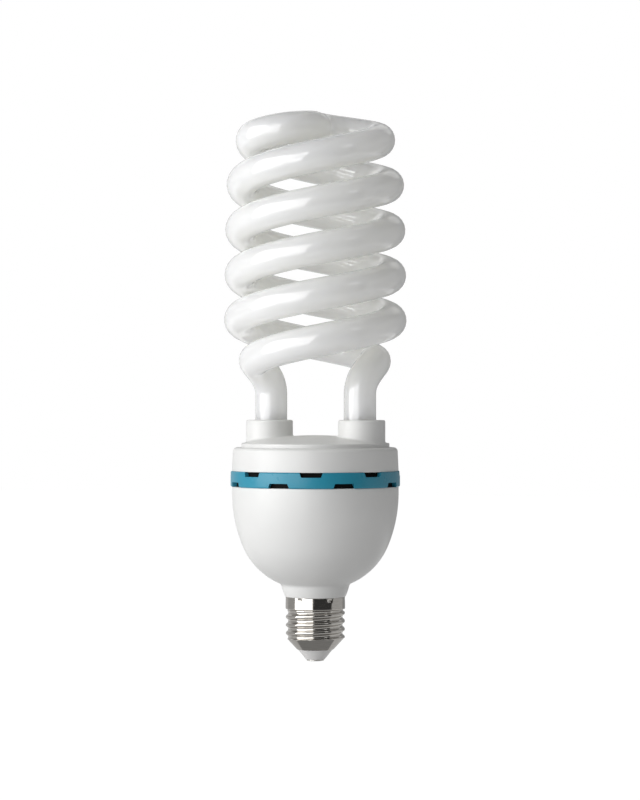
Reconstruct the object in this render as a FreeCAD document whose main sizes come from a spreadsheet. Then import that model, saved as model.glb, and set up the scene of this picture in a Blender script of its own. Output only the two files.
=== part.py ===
import FreeCAD, Part
import math
import os

import Sketcher
from FreeCAD import Placement, Rotation, Vector

# Spiral energy saving lamp with a 27 mm screw cap, a two-part plastic housing with a vent ring,
# a double-spiral glass tube and the ballast board inside.
# The frame stands on the centre contact: +Z runs up the lamp, and the tube's two legs lie on the X axis.

# Driving sizes, in millimetres and degrees.
sizes = {
    # Screw cap, from the contact face up
    "contactRadius": 3.9,
    "contactThickness": 0.5,
    "contactWeb": 0.3,
    "shankRadius": 1.2,
    "shankBore": 0.75,
    "shankLength": 2.4,
    "solderDepth": 1.4,
    "insulatorFoot": 4.2,
    "capConeRadius": 8.3,
    "capBase": 5.1,
    "capConeHeight": 5.3,
    "capRadius": 13.2,
    "capWall": 0.4,
    "capHeight": 28.5,
    "fitClearance": 0.05,
    # Lower housing: neck, bowl and the seat of the board
    "skirtGap": 6.4,
    "skirtSeatLength": 5.6,
    "skirtThreadInset": 1.7,
    "skirtWall": 1.5,
    "neckOverhang": 0.2,
    "neckFlare": 2.1,
    "neckHeight": 5.7,
    "neckArcRadius": 20.0,
    "bowlRadius": 37.2,
    "bowlLowerArc": 31.3,
    "bowlUpperArc": 61.0,
    "bowlArcTurn": 22.7,
    "bowlStraight": 3.1,
    "housingWall": 1.6,
    "ribReach": 6.1,
    "ribHeight": 8.0,
    "ribThickness": 2.0,
    "ribDrop": 3.8,
    "ribCount": 4,
    # Vent ring
    "ringHeight": 6.9,
    "ringProud": 0.6,
    "ringEdge": 0.35,
    "slotCount": 8,
    "slotWidth": 10.2,
    "slotTaper": 0.8,
    "slotHeight": 2.1,
    "slotTurn": 17.3,
    "slotStagger": 22.5,
    # Top cover with the two tube collars
    "coverHeight": 10.5,
    "coverDraft": 0.4,
    "coverCorner": 1.8,
    "coverWall": 1.8,
    "plateInset": 4.1,
    "plateStep": 1.9,
    "plateEdge": 0.5,
    "plateRise": 3.5,
    "collarRadius": 10.5,
    "collarOffset": 0.8,
    "collarHeight": 12.2,
    "collarRound": 0.8,
    "legClearance": 0.25,
    "cementThickness": 1.4,
    "cementLength": 11.0,
    "socketWall": 1.2,
    "tabCount": 4,
    "tabWidth": 6.0,
    "tabThickness": 1.6,
    "tabClearance": 0.4,
    "tabLength": 4.6,
    "hookReach": 0.8,
    "hookHeight": 1.8,
    "hookClearance": 0.3,
    "pegRadius": 1.8,
    "pegInset": 2.3,
    "pegTurn": 60.0,
    # Double-spiral tube
    "tubeRadius": 7.2,
    "legInset": 16.1,
    "legStraight": 11.6,
    "footDepth": 16.4,
    "footRound": 2.4,
    "bendRise": 15.2,
    "bendTurn": 40.0,
    "bendLowerPull": 9.0,
    "bendUpperPull": 6.0,
    "coilRadius": 33.0,
    "coilPitch": 39.8,
    "coilTurn": 880.0,
    "coilSpread": 0.6,
    "coilTopInset": 4.7,
    "coilTopTurn": 360.0,
    "coilTopRise": 1.2,
    "coilFootInset": 5.3,
    "coilFootTurn": 180.0,
    "bridgeRise": 5.2,
    "bridgeTurn": 78.0,
    "bridgeMiddlePull": 15.5,
    "bridgeEndPull": 12.0,
    "stationTurn": 55.0,
    # Ballast board and what is soldered to it
    "boardGap": 3.1,
    "boardThickness": 1.6,
    "aisle": 2.2,
    "leadRadius": 0.35,
    "postSide": 0.9,
    "postHeight": 7.0,
    "postSpread": 5.9,
    "filamentSpread": 2.2,
    "filamentDrop": 9.5,
    "capacitorRadius": 8.0,
    "capacitorHeight": 26.0,
    "capacitorGroove": 0.4,
    "chokeDepth": 13.0,
    "chokeHeight": 20.0,
    "coreThickness": 7.0,
    "coreLimb": 3.6,
    "windowWidth": 5.3,
    "windingDepth": 11.4,
    "bobbinWall": 0.9,
    "transistorThickness": 4.5,
    "transistorWidth": 10.0,
    "transistorHeight": 15.5,
    "transistorBody": 9.3,
    "transistorPlate": 1.3,
    "transistorHole": 1.8,
    "transistorHoleRise": 3.0,
    "transistorLift": 3.0,
    "filmThickness": 6.0,
    "filmWidth": 13.0,
    "filmHeight": 11.0,
    "ceramicThickness": 3.4,
    "ceramicRadius": 4.2,
    "toroidRadius": 4.6,
    "toroidBore": 2.6,
    "toroidThickness": 3.4,
    "toroidGap": 1.1,
    "loopPlay": 0.4,
    "twinSpread": 7.0,
    "drumRadius": 4.0,
    "drumHeight": 9.5,
    "drumFlange": 1.4,
    "diodeRadius": 1.35,
    "diodeLength": 5.2,
    "diodeCount": 4,
    "resistorRadius": 1.2,
    "resistorLength": 6.3,
    "fuseRadius": 2.1,
    "fuseWaist": 1.8,
    "fuseLength": 9.0,
    "fuseCap": 1.5,
    "fuseLift": 5.8,
    "wireRadius": 0.5,
    "wireSlack": 2.0,
}

# Lengths that follow from the driving sizes, from the cap up.
followers = {
    "capInner": "dims.capRadius - dims.capWall",
    "coneInner": "dims.capConeRadius - dims.capWall",
    "coneTop": "dims.capBase + dims.capConeHeight",
    "insulatorTop": "derived.coneTop - 2 * dims.capWall",
    "insulatorRim": "derived.capInner - dims.fitClearance - 2 * dims.capWall"
                    " * (dims.capRadius - dims.capConeRadius) / dims.capConeHeight",
    "skirtSeat": "derived.capInner - dims.fitClearance",
    "skirtOuter": "dims.capRadius - dims.skirtThreadInset",
    "skirtBore": "derived.skirtOuter - dims.skirtWall",
    "skirtFoot": "derived.insulatorTop + dims.skirtGap",
    "neckFoot": "dims.capRadius + dims.neckOverhang",
    "neckTop": "dims.capRadius + dims.neckFlare",
    "crease": "dims.capHeight + dims.neckHeight",
    "arcJoin": "dims.bowlRadius - dims.bowlUpperArc * (1 - cos(dims.bowlArcTurn))",
    "lowerCentre": "derived.arcJoin - dims.bowlLowerArc * cos(dims.bowlArcTurn)",
    "lowerSine": "sqrt(1 - ((derived.neckTop - derived.lowerCentre) / dims.bowlLowerArc)^2)",
    "lowerCentreHeight": "derived.crease + dims.bowlLowerArc * derived.lowerSine",
    "joinHeight": "derived.lowerCentreHeight - dims.bowlLowerArc * sin(dims.bowlArcTurn)",
    "straightHeight": "derived.joinHeight + dims.bowlUpperArc * sin(dims.bowlArcTurn)",
    "bowlTop": "derived.straightHeight + dims.bowlStraight",
    "innerRadius": "dims.bowlRadius - dims.housingWall",
    "innerLowerArc": "dims.bowlLowerArc - dims.housingWall",
    "innerUpperArc": "dims.bowlUpperArc - dims.housingWall",
    "innerJoin": "derived.arcJoin - dims.housingWall * cos(dims.bowlArcTurn)",
    "innerJoinHeight": "derived.joinHeight + dims.housingWall * sin(dims.bowlArcTurn)",
    "innerFootHeight": "derived.lowerCentreHeight - derived.innerLowerArc"
                       " * sqrt(1 - ((derived.skirtBore - derived.lowerCentre) / derived.innerLowerArc)^2)",
    "boardRadius": "derived.innerRadius - dims.boardGap",
    "boardFoot": "derived.bowlTop - dims.ribDrop",
    "boardTop": "derived.boardFoot + dims.boardThickness",
    "ringTop": "derived.bowlTop + dims.ringHeight",
    "ringRadius": "dims.bowlRadius + dims.ringProud",
    "shoulder": "derived.ringTop + dims.coverHeight",
    "plateRadius": "dims.bowlRadius - dims.plateInset",
    "plateTop": "derived.shoulder + dims.plateStep",
    "domeTop": "derived.plateTop + dims.plateRise",
    "domeReach": "derived.plateRadius - dims.plateEdge",
    "domeArc": "(derived.domeReach^2 + dims.plateRise^2) / (2 * dims.plateRise)",
    "innerReach": "derived.plateRadius - dims.coverWall",
    "pegCircle": "derived.innerReach - dims.pegInset",
    "innerDomeFoot": "derived.domeTop - dims.coverWall - derived.innerDomeArc"
                     " + sqrt(derived.innerDomeArc^2 - derived.innerReach^2)",
    "innerDomeArc": "derived.domeArc - dims.coverWall",
    "collarTop": "derived.shoulder + dims.collarHeight",
    "legOffset": "dims.bowlRadius - dims.legInset",
    "legBore": "dims.tubeRadius + dims.legClearance",
    "cementRadius": "dims.tubeRadius + dims.cementThickness",
    "socketRadius": "derived.cementRadius + dims.socketWall",
    "tubeFoot": "derived.collarTop - dims.footDepth",
    "cementFoot": "derived.tubeFoot + dims.footRound",
    "cementTop": "derived.cementFoot + dims.cementLength",
    "tabFace": "derived.innerRadius - dims.tabClearance",
    "tabFoot": "derived.bowlTop - dims.tabLength",
    "capacitorPlace": "-(dims.aisle + dims.capacitorRadius)",
    "chokeWidth": "4 * dims.coreLimb + 2 * dims.windowWidth",
    "chokePlace": "dims.aisle + dims.chokeDepth / 2",
    "transistorPlace": "derived.chokeWidth / 2 + dims.aisle + dims.transistorThickness / 2",
    "filmPlace": "dims.capacitorRadius + dims.aisle + dims.filmThickness / 2",
    "ceramicPlace": "derived.filmPlace + dims.filmThickness / 2 + dims.aisle + dims.ceramicThickness / 2",
    "twinPlace": "dims.aisle + dims.chokeDepth + dims.aisle / 2 + dims.toroidRadius",
    "diodePlace": "-2 * dims.capacitorRadius - 3 * dims.aisle / 2 - dims.diodeRadius",
    "resistorStart": "derived.capacitorPlace + dims.ceramicRadius + dims.aisle + derived.resistorSpread / 2",
    "resistorSpread": "dims.resistorLength + 2 * dims.resistorRadius + 4 * dims.leadRadius",
    "diodeSpread": "dims.diodeLength + 2 * dims.diodeRadius + 4 * dims.leadRadius",
    "resistorPlace": "derived.transistorPlace + dims.transistorThickness / 2"
                     " + dims.aisle + dims.resistorRadius",
    "coreHeight": "dims.chokeHeight - 2 * dims.bobbinWall",
    "coreFoot": "derived.boardFoot - dims.chokeHeight + dims.bobbinWall",
}

# Two places closer than this, in millimetres, are the same place.
touch = 1e-3

doc = FreeCAD.newDocument("SpiralLamp")


def makeSheet():
    sheet = doc.addObject("Spreadsheet::Sheet", "dims")
    for row, (alias, amount) in enumerate(sizes.items(), start=1):
        sheet.set(f"A{row}", alias)
        sheet.set(f"B{row}", str(amount))
        sheet.setAlias(f"B{row}", alias)
    doc.recompute()
    return sheet


def makeFollowers():
    holder = doc.addObject("App::VarSet", "derived")
    for name in followers:
        holder.addProperty("App::PropertyFloat", name)
    for name, formula in followers.items():
        holder.setExpression(name, formula)
    doc.recompute()
    return holder


dims = makeSheet()
derived = makeFollowers()
gauge = doc.addObject("App::VarSet", "gauge")
gauge.addProperty("App::PropertyFloat", "reading")
nodes = []


def read(formula):
    gauge.setExpression("reading", str(formula))
    gauge.recompute()
    return gauge.reading


def bind(thing, **formulas):
    for name, formula in formulas.items():
        thing.setExpression(name, str(formula))
    return thing


def place(thing, across="0", along="0", up="0"):
    bind(thing, **{"Placement.Base.x": across, "Placement.Base.y": along, "Placement.Base.z": up})
    return thing


def keep(thing, label):
    thing.Label = label
    nodes.append(thing)
    return thing


# Sketch helpers


def datum(body, role):
    return next(part for part in body.Origin.OriginFeatures if part.Role == role)


def newSketch(body, name, plane, lift=None, turn=None):
    sketch = body.newObject("Sketcher::SketchObject", name)
    sketch.AttachmentSupport = [(datum(body, plane), "")]
    sketch.MapMode = "FlatFace"
    if turn is not None:
        sketch.AttachmentOffset = Placement(Vector(), Rotation(Vector(0, 1, 0), read(turn)))
        sketch.setExpression("AttachmentOffset.Rotation.Angle", str(turn))
    if lift is not None:
        sketch.setExpression("AttachmentOffset.Base.z", str(lift))
    return sketch


def pin(sketch, item, point, across, up):
    # A point is tied to the two axes by positive distances, or lies on an axis.
    for kind, formula, axis in (("DistanceX", across, -2), ("DistanceY", up, -1)):
        amount = read(formula)
        if abs(amount) < touch:
            sketch.addConstraint(Sketcher.Constraint("PointOnObject", item, point, axis))
            continue
        if amount > 0:
            index = sketch.addConstraint(Sketcher.Constraint(kind, -1, 1, item, point, amount))
            sketch.setExpression(f"Constraints[{index}]", str(formula))
        else:
            index = sketch.addConstraint(Sketcher.Constraint(kind, item, point, -1, 1, -amount))
            sketch.setExpression(f"Constraints[{index}]", f"-({formula})")


def arcThrough(start, end, radius, side):
    # The centre lies to the left (side 1) or the right (side -1) of the way from start to end.
    half = (end - start) / 2
    reach = math.sqrt(radius ** 2 - half.Length ** 2)
    normal = Vector(-half.y, half.x, 0).normalize() * side
    centre = start + half + normal * reach
    angles = [math.atan2(point.y - centre.y, point.x - centre.x) for point in (start, end)]
    if side < 0:
        angles.reverse()
    if angles[1] < angles[0]:
        angles[1] += 2 * math.pi
    return Part.ArcOfCircle(Part.Circle(centre, Vector(0, 0, 1), radius), *angles)


def drawOutline(sketch, corners):
    # Each corner is (across, up), with (radius, side) behind it where an arc leads to the next one.
    points = [Vector(read(corner[0]), read(corner[1]), 0) for corner in corners]
    ends = []
    for number, corner in enumerate(corners):
        start, end = points[number], points[(number + 1) % len(corners)]
        if len(corner) == 2:
            item = sketch.addGeometry(Part.LineSegment(start, end))
            ends.append((item, 1, 2))
            continue
        radius, side = corner[2:]
        item = sketch.addGeometry(arcThrough(start, end, read(radius), side))
        ends.append((item, 1, 2) if side > 0 else (item, 2, 1))
        index = sketch.addConstraint(Sketcher.Constraint("Radius", item, read(radius)))
        sketch.setExpression(f"Constraints[{index}]", str(radius))
    for (item, first, last), (following, nextFirst, _) in zip(ends, ends[1:] + ends[:1]):
        sketch.addConstraint(Sketcher.Constraint("Coincident", item, last, following, nextFirst))
    for (item, first, _), corner in zip(ends, corners):
        pin(sketch, item, first, corner[0], corner[1])


def drawCircles(sketch, centres, radius):
    for across, up in centres:
        spot = Vector(read(across), read(up), 0)
        item = sketch.addGeometry(Part.Circle(spot, Vector(0, 0, 1), read(radius)))
        pin(sketch, item, 3, across, up)
        index = sketch.addConstraint(Sketcher.Constraint("Radius", item, read(radius)))
        sketch.setExpression(f"Constraints[{index}]", str(radius))


# Feature helpers


def newBody(name):
    return keep(doc.addObject("PartDesign::Body", name), name)


def revolve(body, name, corners, kind="PartDesign::Revolution"):
    sketch = newSketch(body, f"{name}Profile", "XZ_Plane")
    drawOutline(sketch, corners)
    turned = body.newObject(kind, name)
    turned.Profile = sketch
    turned.ReferenceAxis = (sketch, ["V_Axis"])
    turned.Angle = 360
    doc.recompute()
    return turned


def pad(body, name, sketch, length, down=False, both=False):
    raised = body.newObject("PartDesign::Pad", name)
    raised.Profile = sketch
    bind(raised, Length=length)
    raised.Reversed = down
    if both:
        raised.SideType = "Symmetric"
    doc.recompute()
    return raised


def pocket(body, name, sketch, length, up=False):
    sunk = body.newObject("PartDesign::Pocket", name)
    sunk.Profile = sketch
    bind(sunk, Length=length)
    sunk.Reversed = up
    doc.recompute()
    return sunk


def roundTheAxis(body, name, features, count):
    pattern = body.newObject("PartDesign::PolarPattern", name)
    pattern.Originals = features
    pattern.Axis = (datum(body, "Z_Axis"), [""])
    pattern.Angle = 360
    bind(pattern, Occurrences=count)
    body.Tip = pattern
    doc.recompute()
    return pattern


def fillet(body, name, radius, wanted):
    base = body.Tip
    edges = [f"Edge{number}" for number, edge in enumerate(base.Shape.Edges, start=1) if wanted(edge)]
    rounded = body.newObject("PartDesign::Fillet", name)
    rounded.Base = (base, edges)
    bind(rounded, Radius=radius)
    doc.recompute()
    return rounded


def cylinder(name, radius, height, across="0", along="0", up="0"):
    made = bind(doc.addObject("Part::Cylinder", name), Radius=radius, Height=height)
    return place(made, across, along, up)


def box(name, width, depth, height, across="0", along="0", up="0"):
    # A box centred over the given point
    made = bind(doc.addObject("Part::Box", name), Length=width, Width=depth, Height=height)
    return place(made, f"{across} - ({width}) / 2", f"{along} - ({depth}) / 2", up)


def lying(thing, axis):
    thing.Placement.Rotation = Rotation(Vector(0, 0, 1), axis)
    return thing


def fuse(name, *things):
    made = doc.addObject("Part::MultiFuse", name)
    made.Shapes = list(things)
    return made


def cut(name, base, *tools):
    made = doc.addObject("Part::Cut", name)
    made.Base = base
    made.Tool = tools[0] if len(tools) == 1 else fuse(f"{name}Tools", *tools)
    return made


def group(label, *things):
    made = doc.addObject("Part::Compound", label)
    made.Links = list(things)
    return keep(made, label)


# Wires: straight runs joined by tangent arcs


def route(points):
    runs = [(after - before).Length for before, after in zip(points, points[1:])]
    edges = []
    start = points[0]
    for number in range(1, len(points) - 1):
        corner = points[number]
        inward = (corner - points[number - 1]).normalize()
        outward = (points[number + 1] - corner).normalize()
        trim = 0.45 * min(runs[number - 1], runs[number])
        half = inward.getAngle(outward) / 2
        radius = trim / math.tan(half)
        toCentre = (outward - inward).normalize()
        middle = corner + toCentre * (radius / math.cos(half) - radius)
        edges.append(Part.LineSegment(start, corner - inward * trim).toShape())
        edges.append(Part.Arc(corner - inward * trim, middle, corner + outward * trim).toShape())
        start = corner + outward * trim
    edges.append(Part.LineSegment(start, points[-1]).toShape())
    return Part.Wire(edges)


def wireShape(points, radius):
    spine = route(points)
    heading = (points[1] - points[0]).normalize()
    section = Part.Wire(Part.Circle(points[0], heading, radius).toShape())
    return spine.makePipeShell([section], True, False)


def wireNode(label, strands, radius):
    made = doc.addObject("Part::Feature", label)
    made.Shape = Part.makeCompound([wireShape(points, radius) for points in strands])
    made.Placement = Placement()
    return keep(made, label)


# Screw cap


def makeScrewShell():
    body = newBody("screw_shell")
    revolve(body, "DrawnShell", [
        ("dims.capConeRadius", "dims.capBase"),
        ("dims.capRadius", "derived.coneTop"),
        ("dims.capRadius", "dims.capHeight"),
        ("derived.capInner", "dims.capHeight"),
        ("derived.capInner", "derived.coneTop"),
        ("derived.coneInner", "dims.capBase"),
    ])


def makeCapInsulator():
    body = newBody("cap_insulator")
    hole = "dims.shankRadius + dims.fitClearance"
    revolve(body, "GlassCone", [
        (hole, "dims.contactThickness"),
        ("dims.insulatorFoot", "dims.contactThickness"),
        ("derived.coneInner - dims.fitClearance", "dims.capBase"),
        ("derived.insulatorRim", "derived.insulatorTop"),
        (hole, "derived.insulatorTop"),
    ])


def makeCentreContact():
    body = newBody("centre_contact")
    revolve(body, "ContactDisc", [
        ("0", "0"),
        ("dims.contactRadius - dims.contactThickness / 2", "0"),
        ("dims.contactRadius", "dims.contactThickness / 2"),
        ("dims.contactRadius", "dims.contactThickness"),
        ("dims.shankRadius", "dims.contactThickness"),
        ("dims.shankRadius", "dims.contactThickness + dims.shankLength"),
        ("dims.shankBore", "dims.contactThickness + dims.shankLength"),
        ("dims.shankBore", "dims.contactWeb"),
        ("0", "dims.contactWeb"),
    ])


def makeContactSolder():
    body = newBody("contact_solder")
    solderRadius = "dims.shankBore - dims.fitClearance"
    revolve(body, "SolderPlug", [
        ("0", "dims.contactWeb"),
        (solderRadius, "dims.contactWeb"),
        (solderRadius, "dims.contactWeb + dims.solderDepth"),
        ("0", "dims.contactWeb + dims.solderDepth"),
    ])


# Lower housing


def makeLowerHousing():
    body = newBody("lower_housing")
    seatFoot = "dims.capHeight - dims.skirtSeatLength"
    revolve(body, "BowlAndNeck", [
        ("derived.skirtBore", "derived.skirtFoot"),
        ("derived.skirtOuter", "derived.skirtFoot"),
        ("derived.skirtOuter", seatFoot),
        ("derived.skirtSeat", f"{seatFoot} + derived.skirtSeat - derived.skirtOuter"),
        ("derived.skirtSeat", "dims.capHeight"),
        ("derived.neckFoot", "dims.capHeight", "dims.neckArcRadius", 1),
        ("derived.neckTop", "derived.crease", "dims.bowlLowerArc", 1),
        ("derived.arcJoin", "derived.joinHeight", "dims.bowlUpperArc", 1),
        ("dims.bowlRadius", "derived.straightHeight"),
        ("dims.bowlRadius", "derived.bowlTop"),
        ("derived.innerRadius", "derived.bowlTop"),
        ("derived.innerRadius", "derived.straightHeight", "derived.innerUpperArc", -1),
        ("derived.innerJoin", "derived.innerJoinHeight", "derived.innerLowerArc", -1),
        ("derived.skirtBore", "derived.innerFootHeight"),
    ])
    grooveTop = "derived.tabFoot + dims.hookHeight + dims.hookClearance"
    grooveFoot = "derived.tabFoot - dims.hookClearance"
    grooveReach = "derived.tabFace + dims.hookReach + dims.hookClearance"
    grooveStart = "derived.innerRadius - dims.housingWall / 2"
    revolve(body, "HookGroove", [
        (grooveStart, grooveFoot),
        (grooveReach, grooveFoot),
        (grooveReach, grooveTop),
        (grooveStart, grooveTop),
    ], "PartDesign::Groove")
    ribs = newSketch(body, "BoardRibProfile", "XZ_Plane")
    drawOutline(ribs, [
        ("derived.innerRadius - dims.ribReach", "derived.boardFoot"),
        ("derived.innerRadius - dims.ribReach + dims.ribHeight / 2", "derived.boardFoot - dims.ribHeight"),
        ("derived.innerRadius + dims.housingWall / 8", "derived.boardFoot - dims.ribHeight"),
        ("derived.innerRadius + dims.housingWall / 2", "derived.boardFoot"),
    ])
    rib = pad(body, "BoardRib", ribs, "dims.ribThickness", both=True)
    roundTheAxis(body, "BoardRibs", [rib], "dims.ribCount")


# Vent ring


def slotSketch(body, name, edge, inward, turn):
    sketch = newSketch(body, name, "XZ_Plane", turn=turn)
    half = "dims.slotWidth / 2"
    beyond = f"{edge} - ({inward}) * 2 * dims.ringEdge"
    drawOutline(sketch, [
        (f"-({half})", beyond),
        (half, beyond),
        (half, edge),
        (f"{half} - dims.slotTaper", f"{edge} + ({inward}) * dims.slotHeight"),
        (f"-({half} - dims.slotTaper)", f"{edge} + ({inward}) * dims.slotHeight"),
        (f"-({half})", edge),
    ])
    return sketch


def makeVentRing():
    body = newBody("vent_ring")
    revolve(body, "RingBand", [
        ("derived.innerRadius", "derived.bowlTop"),
        ("derived.ringRadius - dims.ringEdge", "derived.bowlTop"),
        ("derived.ringRadius", "derived.bowlTop + dims.ringEdge"),
        ("derived.ringRadius", "derived.ringTop - dims.ringEdge"),
        ("derived.ringRadius - dims.ringEdge", "derived.ringTop"),
        ("derived.innerRadius", "derived.ringTop"),
    ])
    reach = "derived.ringRadius + 1"
    for name, edge, inward, turn in (
        ("Upper", "derived.ringTop", -1, "dims.slotTurn"),
        ("Lower", "derived.bowlTop", 1, "dims.slotTurn + dims.slotStagger"),
    ):
        sketch = slotSketch(body, f"{name}SlotProfile", edge, inward, turn)
        slot = pocket(body, f"{name}Slot", sketch, reach)
        roundTheAxis(body, f"{name}Slots", [slot], "dims.slotCount")


# Top cover


def makeTopCover():
    body = newBody("top_cover")
    ceiling = "derived.shoulder - dims.coverWall"
    revolve(body, "CoverShell", [
        ("dims.bowlRadius", "derived.ringTop"),
        ("dims.bowlRadius - dims.coverDraft", "derived.shoulder - dims.coverCorner", "dims.coverCorner", 1),
        ("dims.bowlRadius - dims.coverDraft - dims.coverCorner", "derived.shoulder"),
        ("derived.plateRadius", "derived.shoulder"),
        ("derived.plateRadius", "derived.plateTop - dims.plateEdge", "dims.plateEdge", 1),
        ("derived.domeReach", "derived.plateTop", "derived.domeArc", 1),
        ("0", "derived.domeTop"),
        ("0", "derived.domeTop - dims.coverWall", "derived.innerDomeArc", -1),
        ("derived.innerReach", "derived.innerDomeFoot"),
        ("derived.innerReach", ceiling),
        ("dims.bowlRadius - dims.coverDraft - dims.coverWall", ceiling),
        ("dims.bowlRadius - dims.coverWall", "derived.ringTop"),
    ])
    outward = "derived.legOffset + dims.collarOffset"
    root = "derived.innerDomeFoot"
    collars = newSketch(body, "CollarCircles", "XY_Plane", lift=root)
    drawCircles(collars, [(outward, "0"), (f"-({outward})", "0")], "dims.collarRadius")
    pad(body, "Collars", collars, f"derived.collarTop - {root}")
    sockets = newSketch(body, "SocketCircles", "XY_Plane", lift="derived.cementFoot")
    legs = [("derived.legOffset", "0"), ("-derived.legOffset", "0")]
    drawCircles(sockets, legs, "derived.socketRadius")
    pad(body, "Sockets", sockets, f"{root} + dims.coverWall / 2 - derived.cementFoot")
    pegTop = f"{root} + dims.coverWall / 2"
    pegs = newSketch(body, "PegCircles", "XY_Plane", lift=pegTop)
    pegAcross = "derived.pegCircle * cos(dims.pegTurn)"
    pegAlong = "derived.pegCircle * sin(dims.pegTurn)"
    drawCircles(pegs, [
        (pegAcross, pegAlong),
        (f"-({pegAcross})", pegAlong),
        (f"-({pegAcross})", f"-({pegAlong})"),
        (pegAcross, f"-({pegAlong})"),
    ], "dims.pegRadius")
    pad(body, "BoardPegs", pegs, f"{pegTop} - derived.boardTop", down=True)
    bores = newSketch(body, "LegBoreCircles", "XY_Plane", lift="derived.collarTop + 1")
    drawCircles(bores, legs, "derived.legBore")
    pocket(body, "LegBores", bores, "derived.collarTop + 2 - derived.cementFoot")
    seats = newSketch(body, "CementSeatCircles", "XY_Plane", lift="derived.cementFoot - 1")
    drawCircles(seats, legs, "derived.cementRadius")
    pocket(body, "CementSeats", seats, "derived.cementTop + 1 - derived.cementFoot", up=True)
    tabTop = f"{ceiling} + dims.coverWall / 2"
    tabs = newSketch(body, "SnapTabProfile", "XZ_Plane", turn="45")
    drawOutline(tabs, [
        ("derived.tabFace - dims.tabThickness", "derived.tabFoot"),
        ("derived.tabFace", "derived.tabFoot"),
        ("derived.tabFace + dims.hookReach", "derived.tabFoot + dims.hookReach"),
        ("derived.tabFace + dims.hookReach", "derived.tabFoot + dims.hookHeight"),
        ("derived.tabFace", "derived.tabFoot + dims.hookHeight"),
        ("derived.tabFace", tabTop),
        ("derived.tabFace - dims.tabThickness", tabTop),
    ])
    tab = pad(body, "SnapTab", tabs, "dims.tabWidth", both=True)
    roundTheAxis(body, "SnapTabs", [tab], "dims.tabCount")
    top = derived.collarTop
    widths = [2 * dims.collarRadius, 2 * derived.legBore]

    def onCollarRim(edge):
        span = edge.BoundBox
        atTop = abs(span.ZMin - top) < touch and span.ZLength < touch
        return atTop and min(abs(span.YLength - width) for width in widths) < touch

    fillet(body, "CollarRounds", "dims.collarRound", onCollarRim)


# Double-spiral tube


def bezier(start, startPull, endPull, end, share):
    rest = 1 - share
    return (start * rest ** 3 + startPull * (3 * rest ** 2 * share)
            + endPull * (3 * rest * share ** 2) + end * share ** 3)


def coilPoint(turned):
    # A point of the first strand's centre line, turned so many degrees down from its top
    inset = dims.coilTopInset * max(0, 1 - turned / dims.coilTopTurn) ** 3
    spreadTurn = dims.coilTurn - dims.coilFootTurn - dims.coilTopTurn
    spread = dims.coilSpread * min(1, max(0, (turned - dims.coilTopTurn) / spreadTurn))
    drawn = max(0, 1 - (dims.coilTurn - turned) / dims.coilFootTurn)
    radius = dims.coilRadius - inset + spread - dims.coilFootInset * drawn ** 2
    angle = math.radians(180 + dims.bendTurn + dims.coilTurn - turned)
    foot = derived.collarTop + dims.legStraight + dims.bendRise
    height = foot + dims.coilPitch * (dims.coilTurn - turned) / 360
    height += dims.coilTopRise * (1 - turned / dims.coilTurn) ** 2
    return Vector(radius * math.cos(angle), radius * math.sin(angle), height)


def coilHeading(turned):
    step = 0.01
    return (coilPoint(turned + step) - coilPoint(turned - step)).normalize()


def strandLine(share):
    # The centre line from the apex (share 0) to the foot of the leg (share 3): bridge, coil, bend
    if share < 1:
        apex = Vector(0, 0, coilPoint(0).z + dims.bridgeRise)
        turn = math.radians(180 + dims.bendTurn + dims.coilTurn + dims.bridgeTurn)
        pull = apex + Vector(math.cos(turn), math.sin(turn), 0) * dims.bridgeMiddlePull
        return bezier(apex, pull, coilPoint(0) - coilHeading(0) * dims.bridgeEndPull, coilPoint(0), share)
    if share < 2:
        return coilPoint((share - 1) * dims.coilTurn)
    end = coilPoint(dims.coilTurn)
    leg = Vector(-derived.legOffset, 0, derived.collarTop + dims.legStraight)
    pull = leg + Vector(0, 0, dims.bendLowerPull)
    return bezier(end, end + coilHeading(dims.coilTurn) * dims.bendUpperPull, pull, leg, share - 2)


def twoArcs(start, heading, end, ending):
    # Two arcs that leave start along heading, meet smoothly and reach end along ending
    span = end - start
    along = span.dot(heading + ending)
    twist = 2 * (1 - heading.dot(ending))
    reach = span.dot(span) / (along + math.sqrt(along ** 2 + twist * span.dot(span)))
    near = start + heading * reach
    far = end - ending * reach
    meeting = (near + far) / 2
    arcs = []
    for first, corner, last in ((start, near, meeting), (meeting, far, end)):
        inward = (corner - first).normalize()
        outward = (last - corner).normalize()
        half = inward.getAngle(outward) / 2
        radius = (corner - first).Length / math.tan(half)
        middle = corner + (outward - inward).normalize() * (radius / math.cos(half) - radius)
        arcs.append(Part.Arc(first, middle, last).toShape())
    return arcs


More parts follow.
